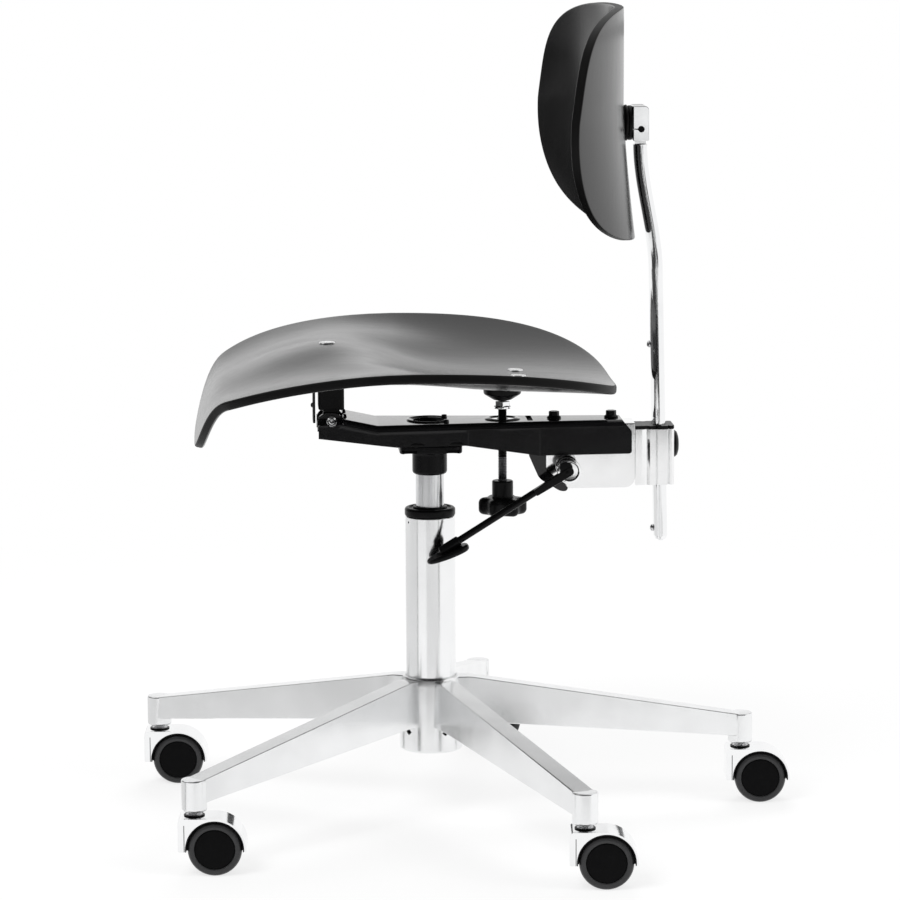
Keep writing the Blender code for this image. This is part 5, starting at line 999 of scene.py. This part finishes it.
def buildPost():
    form = postForm
    thick, wide, top, pinZ = form["thick"], form["wide"], form["top"], form["pinZ"]
    foot = [(form["bottom"] + form["foot"] * rise, thick * share, wide * (1 + share) / 2, form["groove"])
        for rise, share in ((0, 0.55), (0.12, 0.72), (0.32, 0.86), (0.62, 0.96), (1, 1))]
    heights = [form["bendStart"] + form["bendLong"] * step / 20 for step in range(21)]
    plain = [(z, thick, wide, 0) for z in (0.43, 0.49, *heights, top - 0.0008)]  # no line above the clamp
    tube = postRun([*foot, (form["grooveEnd"], thick, wide, form["groove"]), *plain,
        (top, thick - 0.0016, wide - 0.0016, 0)])
    pinX = postMiddle(pinZ)
    tongue = sidePlate([(pinX + 0.0055, top - 0.007), (pinX + 0.0055, pinZ + 0.0055, 0.0054),
        (pinX - 0.0055, pinZ + 0.0055, 0.0054), (pinX - 0.0055, top - 0.007)], -0.005, 0.005, 8)
    stops = {name: (postMiddle(z) - thick / 2 - clear, 0, z) for name, z in form["stops"].items()}
    cuts = [crossRod(boltHole, 0.03, pinX, pinZ)]
    cuts += [put(rod(0.0018, 0.0043, -0.0043, 20), (1, 0, 0), *spot) for spot in stops.values()]
    dress("backPost", carved(tube, cuts, [tongue]), "post", chromePlate, ["back_post"])
    for name, spot in stops.items():
        head = lathe([(0, 0.0028), (0.0014, 0.0027), (0.0028, 0.002), (0.0035, 0.0008, 0.0004), (0.0035, 0),
            (0.0015, 0), (0.0015, -0.004), (0, -0.004)], 32)
        dress("stopScrew_" + name, put(head, (-1, 0, 0), *spot), "post", zincSteel,
            ["stop_screw_" + name], 40)
    end = [(0, 0.0148), (0.0022, 0.0148), (0.003, 0.0142)]
    pin = put(lathe(end + mirrored(end), 32), (0, 1, 0), pinX, 0, pinZ)
    dress("backPin", pin, "post", darkSteel, ["back_pin"])

    front, rear, low, high = pinX - 0.0079, pinX + 0.0079, pinZ - 0.0118, pinZ + 0.0226
    block = sidePlate([(front, low, 0.0012), (rear, low, 0.0012), (rear, high, 0.0042),
        (front, high, 0.0008)], -0.015, 0.015, 8)
    soften(block, 0.0012, 3, 60, lambda edge: span(edge, 1) < 1e-6)
    slot = sidePlate(boxed(front - 0.01, low - 0.01, rear + 0.01, pinZ + 0.0067), -0.0056, 0.0056)
    slit = sidePlate(boxed(front - 0.004, pinZ - 0.0006, pinX, pinZ + 0.0006), -0.03, 0.03)
    block = carved(block, [slot, crossRod(boltHole, 0.03, pinX, pinZ), slit])
    dress("backBlock", block, "back", chromePlate, ["back_block"])

    middle = (low + high) / 2
    start = backFace(0, middle) + backForm["thick"]
    inPly, end = start - backForm["thick"] / 2, front - clear
    reach = end - start
    washer = lathe([(0, inPly), (0.0165, inPly), (0.0165, start + reach * 0.05),
        (0.01775, start + reach * 0.22, 0.0006), (0.01775, start + reach * 0.42, 0.0006),
        (0.0163, start + reach * 0.52, 0.0003), (0.017, start + reach * 0.62, 0.0004), (0.017, end, 0.0008),
        (0, end)], 64)
    room = sheet(20, backMap, backRear, backForm["thick"] + clear, 0.002)
    washer = carved(put(washer, (1, 0, 0), 0, 0, middle), [room])
    dress("backWasher", washer, "back", softRubber, ["back_washer"])


buildBracket()
buildPost()
print("back bracket and post done")


# height lever

leverForm = {"shaft": 0.005, "hub": 0.0092, "wallRing": 0.0112, "collar": 0.0118, "wallFace": 0.0175,
    "rod": 0.0035, "rodLong": 0.146, "slope": 32.0, "paddleLong": 0.044, "paddleWide": 0.03,
    "paddleThick": 0.0062, "paddleSlope": 21.5, "paddleThin": 0.35, "grip": 0.0052, "crankX": -0.022,
    "crankZ": 0.0325, "crankY": -0.0104, "crankWide": 0.0052}


def buildLever():
    form = leverForm
    x, z, shaft, face = bracketForm["leverX"], bracketForm["leverZ"], form["shaft"], form["wallFace"]
    near = (0, -1, 0)  # towards the camera's side
    radius = form["wallRing"]
    ring = lathe([(shaft + clear, 0.004), (radius - 0.0016, 0.004, 0.0004), (radius, 0.002, 0.0006),
        (radius, 0), (shaft + clear, 0)], 64)
    dress("leverRing", put(ring, near, x, -face, z), "upper", chromePlate, ["lever_bushing"])
    start, end, radius, hub = face + 0.007 + clear, face + 0.0323, form["collar"], form["hub"]
    lever = lathe([(0, end - 0.0054), (hub, end - 0.0054), (hub, start - 0.0024, 0.0006),
        (shaft, start - 0.0024), (shaft, -0.0205), (0, -0.0205)], 56)
    put(lever, near, x, 0, z)
    collar = lathe([(0, -0.0016), (radius - 0.0034, -0.0014, 0.0003), (radius - 0.002, 0, 0.0005),
        (radius, -0.0012, 0.0008), (radius, -0.0052, 0.0006), (0, -0.0052)], 64)
    dress("leverCollar", put(collar, near, x, -end, z), "lever", chromePlate)
    slope = math.radians(form["slope"])
    reach = Vector((-math.cos(slope), 0, -math.sin(slope)))
    rodY, bar, long = -start - 0.019, form["rod"], form["rodLong"]
    arm = put(lathe([(0, long), (bar, long, 0.0012), (bar, 0), (0, 0)], 32), reach, x, rodY, z)
    eye = sidePlate([(0.0042, -0.0046, 0.0044), (0.0042, 0.0046, 0.0044), (-0.012, 0.0042), (-0.04, 0.0034),
        (-0.04, -0.0034), (-0.012, -0.0042)], -end - 0.0012, rodY, 8)
    soften(eye, 0.001, 2, 50)
    shift(turn(eye, -form["slope"], "Y"), x, 0, z)
    screw = lathe([(0, 0.0024), (0.0018, 0.0022, 0.0003), (0.0021, 0.0008), (0, 0.0008)], 24)
    put(screw, near, x - 0.002, -end, z - 0.0012)
    cheek = lathe([(0, 0.0006), (0.0062, 0.0002, 0.0006), (0.007, -0.003), (0, -0.003)], 48)
    put(cheek, near, x - 0.0034, -end, z + 0.0034)  # round cheek behind the eye
    tipX, tipZ, crankY = x + form["crankX"], z + form["crankZ"], form["crankY"]
    crank = sidePlate([(x - 0.004, z), (tipX - 0.004, tipZ - 0.004), (tipX - 0.002, tipZ),
        (tipX + 0.002, tipZ), (tipX + 0.006, tipZ - 0.004), (x + 0.004, z)],
        crankY, crankY + form["crankWide"])
    lever = carved(lever, [], [arm, crank, eye, screw, cheek])
    dress("leverArm", lever, "lever", mouldedPlastic, ["release_lever"])

    half, wide, thick = form["paddleLong"] / 2, form["paddleWide"] / 2, form["paddleThick"] / 2

    def paddleOutline(angle):
        return half * powered(math.cos(angle), 0.75), wide * powered(math.sin(angle), 0.75)

    paddle = pad(72, paddleOutline, -thick, thick, 0.0027, 5)
    for corner in paddle.verts:  # thins towards the finger end
        corner.co.z *= 1 - form["paddleThin"] * min(max(-corner.co.x / half, 0), 1)
    tip = Vector((x, rodY, z)) + reach * long
    shift(turn(paddle, -form["paddleSlope"], "Y"), tip.x + 0.004, tip.y, tip.z - 0.004)
    grip = lathe([(0, 0.15), (form["grip"], 0.15, 0.0016), (form["grip"], 0.128, 0.0016), (0, 0.128)], 36)
    put(grip, reach, x, rodY, z)
    socket = put(rod(bar + clear, long + clear, 0, 32), reach, x, rodY, z)
    paddle = carved(paddle, [socket], [grip])
    dress("leverPaddle", paddle, "lever", mouldedPlastic, ["lever_paddle"])


buildLever()
print("lever done")


# inner pieces keep their own solids

innerFinish = {"thrust_bearing": zincSteel, "piston_rod": chromePlate, "release_button": zincSteel,
    "release_rocker": zincSteel, "spindle_trunnion": darkSteel}
for node, finish in innerFinish.items():
    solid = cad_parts[node]
    solid.data.materials.clear()
    solid.data.materials.append(finish)
print("inner solids finished")


# studio

cameraForm = {"spot": (-0.25006, -3.90376, 0.98545), "heading": -3.4, "pitch": 8.9746, "roll": 0.3057,
    "lens": 159.07}
studio = {"floor": 40.0, "floorColour": (0.88, 0.88, 0.88), "floorGlow": 0.74, "glowNear": 0.6,
    "glowFar": 1.6, "world": 0.55, "aimZ": 0.4, "sectorZ": 0.004,
    "lamps": {"keyLamp": ((-1.6, -1.8, 2.6), 1.6, 60), "fillLamp": ((1.9, -1.2, 2.0), 1.6, 25),
        "rimLamp": ((0.3, 2.2, 2.4), 1.8, 40)},
    "boards": {  # seen by reflections only: corner, two edges from it, brightness
        "wallFoot": ((-6, -5, 0), (12, 0, 0), (0, 0, 0.25), 0.04),
        "backWall": ((-6, -5, 0.45), (12, 0, 0), (0, 0, 5.55), 0.04),
        "frontRoof": ((-6, -5, 6), (12, 0, 0), (0, 4.2, 0), 0.04),
        "leftWall": ((-3.5, -1, 0), (0, 5, 0), (0, 0, 2.5), 0.09),
        "leftFront": ((-3.5, -5, 0), (0, 4, 0), (0, 0, 2.5), 0.06),
        "lowVeil": ((-1.6, 0.5, 0.75), (3.2, 0, 0), (0, 0.38, 0), 0.46),
        "rearVeil": ((-5, 4.6, 2.6), (10, 0, 0), (0, 2.4, 0), 0.72),
        "rearHaze": ((-5, 7.0, 2.6), (10, 0, 0), (0, 2.5, 0), 0.84)},
    "sectors": {  # of the floor about the column: angles from the camera, radii, brightness
        "carpet": ((-105, 0), (2.3, 4.3), 0.05), "carpetEnd": ((0, 22), (2.65, 4.3), 0.05),
        "middleMat": ((-18, 38), (0.6, 1.9), 0.8), "rightStrip": ((38, 42), (1.0, 1.9), 0.06),
        "leftStrip": ((-62, -59), (0.4, 1.9), 0.12), "leftMat": ((-150, -62), (0.4, 1.9), 0.78)}}


def whiteSeen(start):  # 1 for camera, glossy and transmission rays
    rays = [start.node("LightPath", out=f"Is {kind} Ray") for kind in ("Camera", "Glossy", "Transmission")]
    return start.maths("MAXIMUM", start.maths("MAXIMUM", rays[0], rays[1]), rays[2])


def stageObject(name, shape):
    made = placed(name, shape)
    finish = bpy.data.materials.new(name + "Finish")
    finish.use_nodes = True
    finish.node_tree.nodes.clear()
    made.data.materials.append(finish)
    return made, Wire(finish.node_tree)


def buildFloor():
    floor, start = stageObject("floor", gridOf(1, 1, studio["floor"]))
    place = start.node("TexCoord", out="Object")
    away = start.node("VectorMath", {"operation": "LENGTH"}, {0: place}, out="Value")
    far = start.node("MapRange", {"interpolation_type": "SMOOTHSTEP"},
        {"Value": away, "From Min": studio["glowNear"], "From Max": studio["glowFar"],
            "To Min": studio["floorGlow"], "To Max": 1.0})
    matt = start.node("BsdfDiffuse", None, {"Color": (*studio["floorColour"], 1)})
    glow = start.node("Emission", None, {"Color": (1, 1, 1, 1), "Strength": 1.0})
    mixed = start.node("MixShader", None, {0: whiteSeen(start) * far, 1: matt, 2: glow})
    start.node("OutputMaterial", None, {"Surface": mixed})


def board(name, shape, shade):
    made, start = stageObject(name, shape)
    glow = start.node("Emission", None, {"Color": (shade, shade, shade, 1), "Strength": 1.0})
    start.node("OutputMaterial", None, {"Surface": glow})
    for kind in ("camera", "diffuse", "shadow", "transmission"):
        setattr(made, "visible_" + kind, False)


def buildStudio():
    buildFloor()
    world = bpy.data.worlds.new("studioWorld")
    bpy.context.scene.world = world
    world.use_nodes = True
    world.node_tree.nodes.clear()
    start = Wire(world.node_tree)
    strength = whiteSeen(start) * (1 - studio["world"]) + studio["world"]
    glow = start.node("Background", None, {"Color": (1, 1, 1, 1), "Strength": strength})
    start.node("OutputWorld", None, {"Surface": glow})

    for name, (spot, size, power) in studio["lamps"].items():
        lamp = bpy.data.lights.new(name, "AREA")
        lamp.shape = "DISK"
        lamp.size = size
        lamp.energy = power
        holder = bpy.data.objects.new(name, lamp)
        holder.location = spot
        away = Vector(spot) - Vector((0, 0, studio["aimZ"]))
        holder.rotation_euler = away.to_track_quat("Z", "Y").to_euler()
        holder.visible_glossy = False
        bpy.context.scene.collection.objects.link(holder)

    for name, (corner, across, up, shade) in studio["boards"].items():
        card = gridOf(1, 1)
        for point in card.verts:
            point.co = Vector(corner) + (point.co.x + 0.5) * Vector(across) + (point.co.y + 0.5) * Vector(up)
        board(name, card, shade)
    for name, (angles, radii, shade) in studio["sectors"].items():
        card = bmesh.new()
        card.edges.new([card.verts.new((0, -radius, studio["sectorZ"])) for radius in radii])
        turn(card, angles[0])
        bmesh.ops.spin(card, geom=card.verts[:] + card.edges[:], cent=(0, 0, 0), axis=(0, 0, 1),
            dvec=(0, 0, 0), angle=math.radians(angles[1] - angles[0]), steps=24)
        board(name, shift(turn(card, cameraForm["heading"]), axisX, axisY), shade)


buildStudio()

lens = bpy.data.cameras.new("photoCamera")
lens.lens = cameraForm["lens"]
lens.sensor_width = 36
lens.clip_end = 200
camera = bpy.data.objects.new("photoCamera", lens)
camera.matrix_world = (Matrix.Translation(cameraForm["spot"]) @ spun(cameraForm["heading"], "Z")
    @ spun(90 - cameraForm["pitch"], "X") @ spun(-cameraForm["roll"], "Z"))
bpy.context.scene.collection.objects.link(camera)
bpy.context.scene.camera = camera
bpy.context.scene.view_settings.view_transform = "Standard"
print("studio and camera ready")
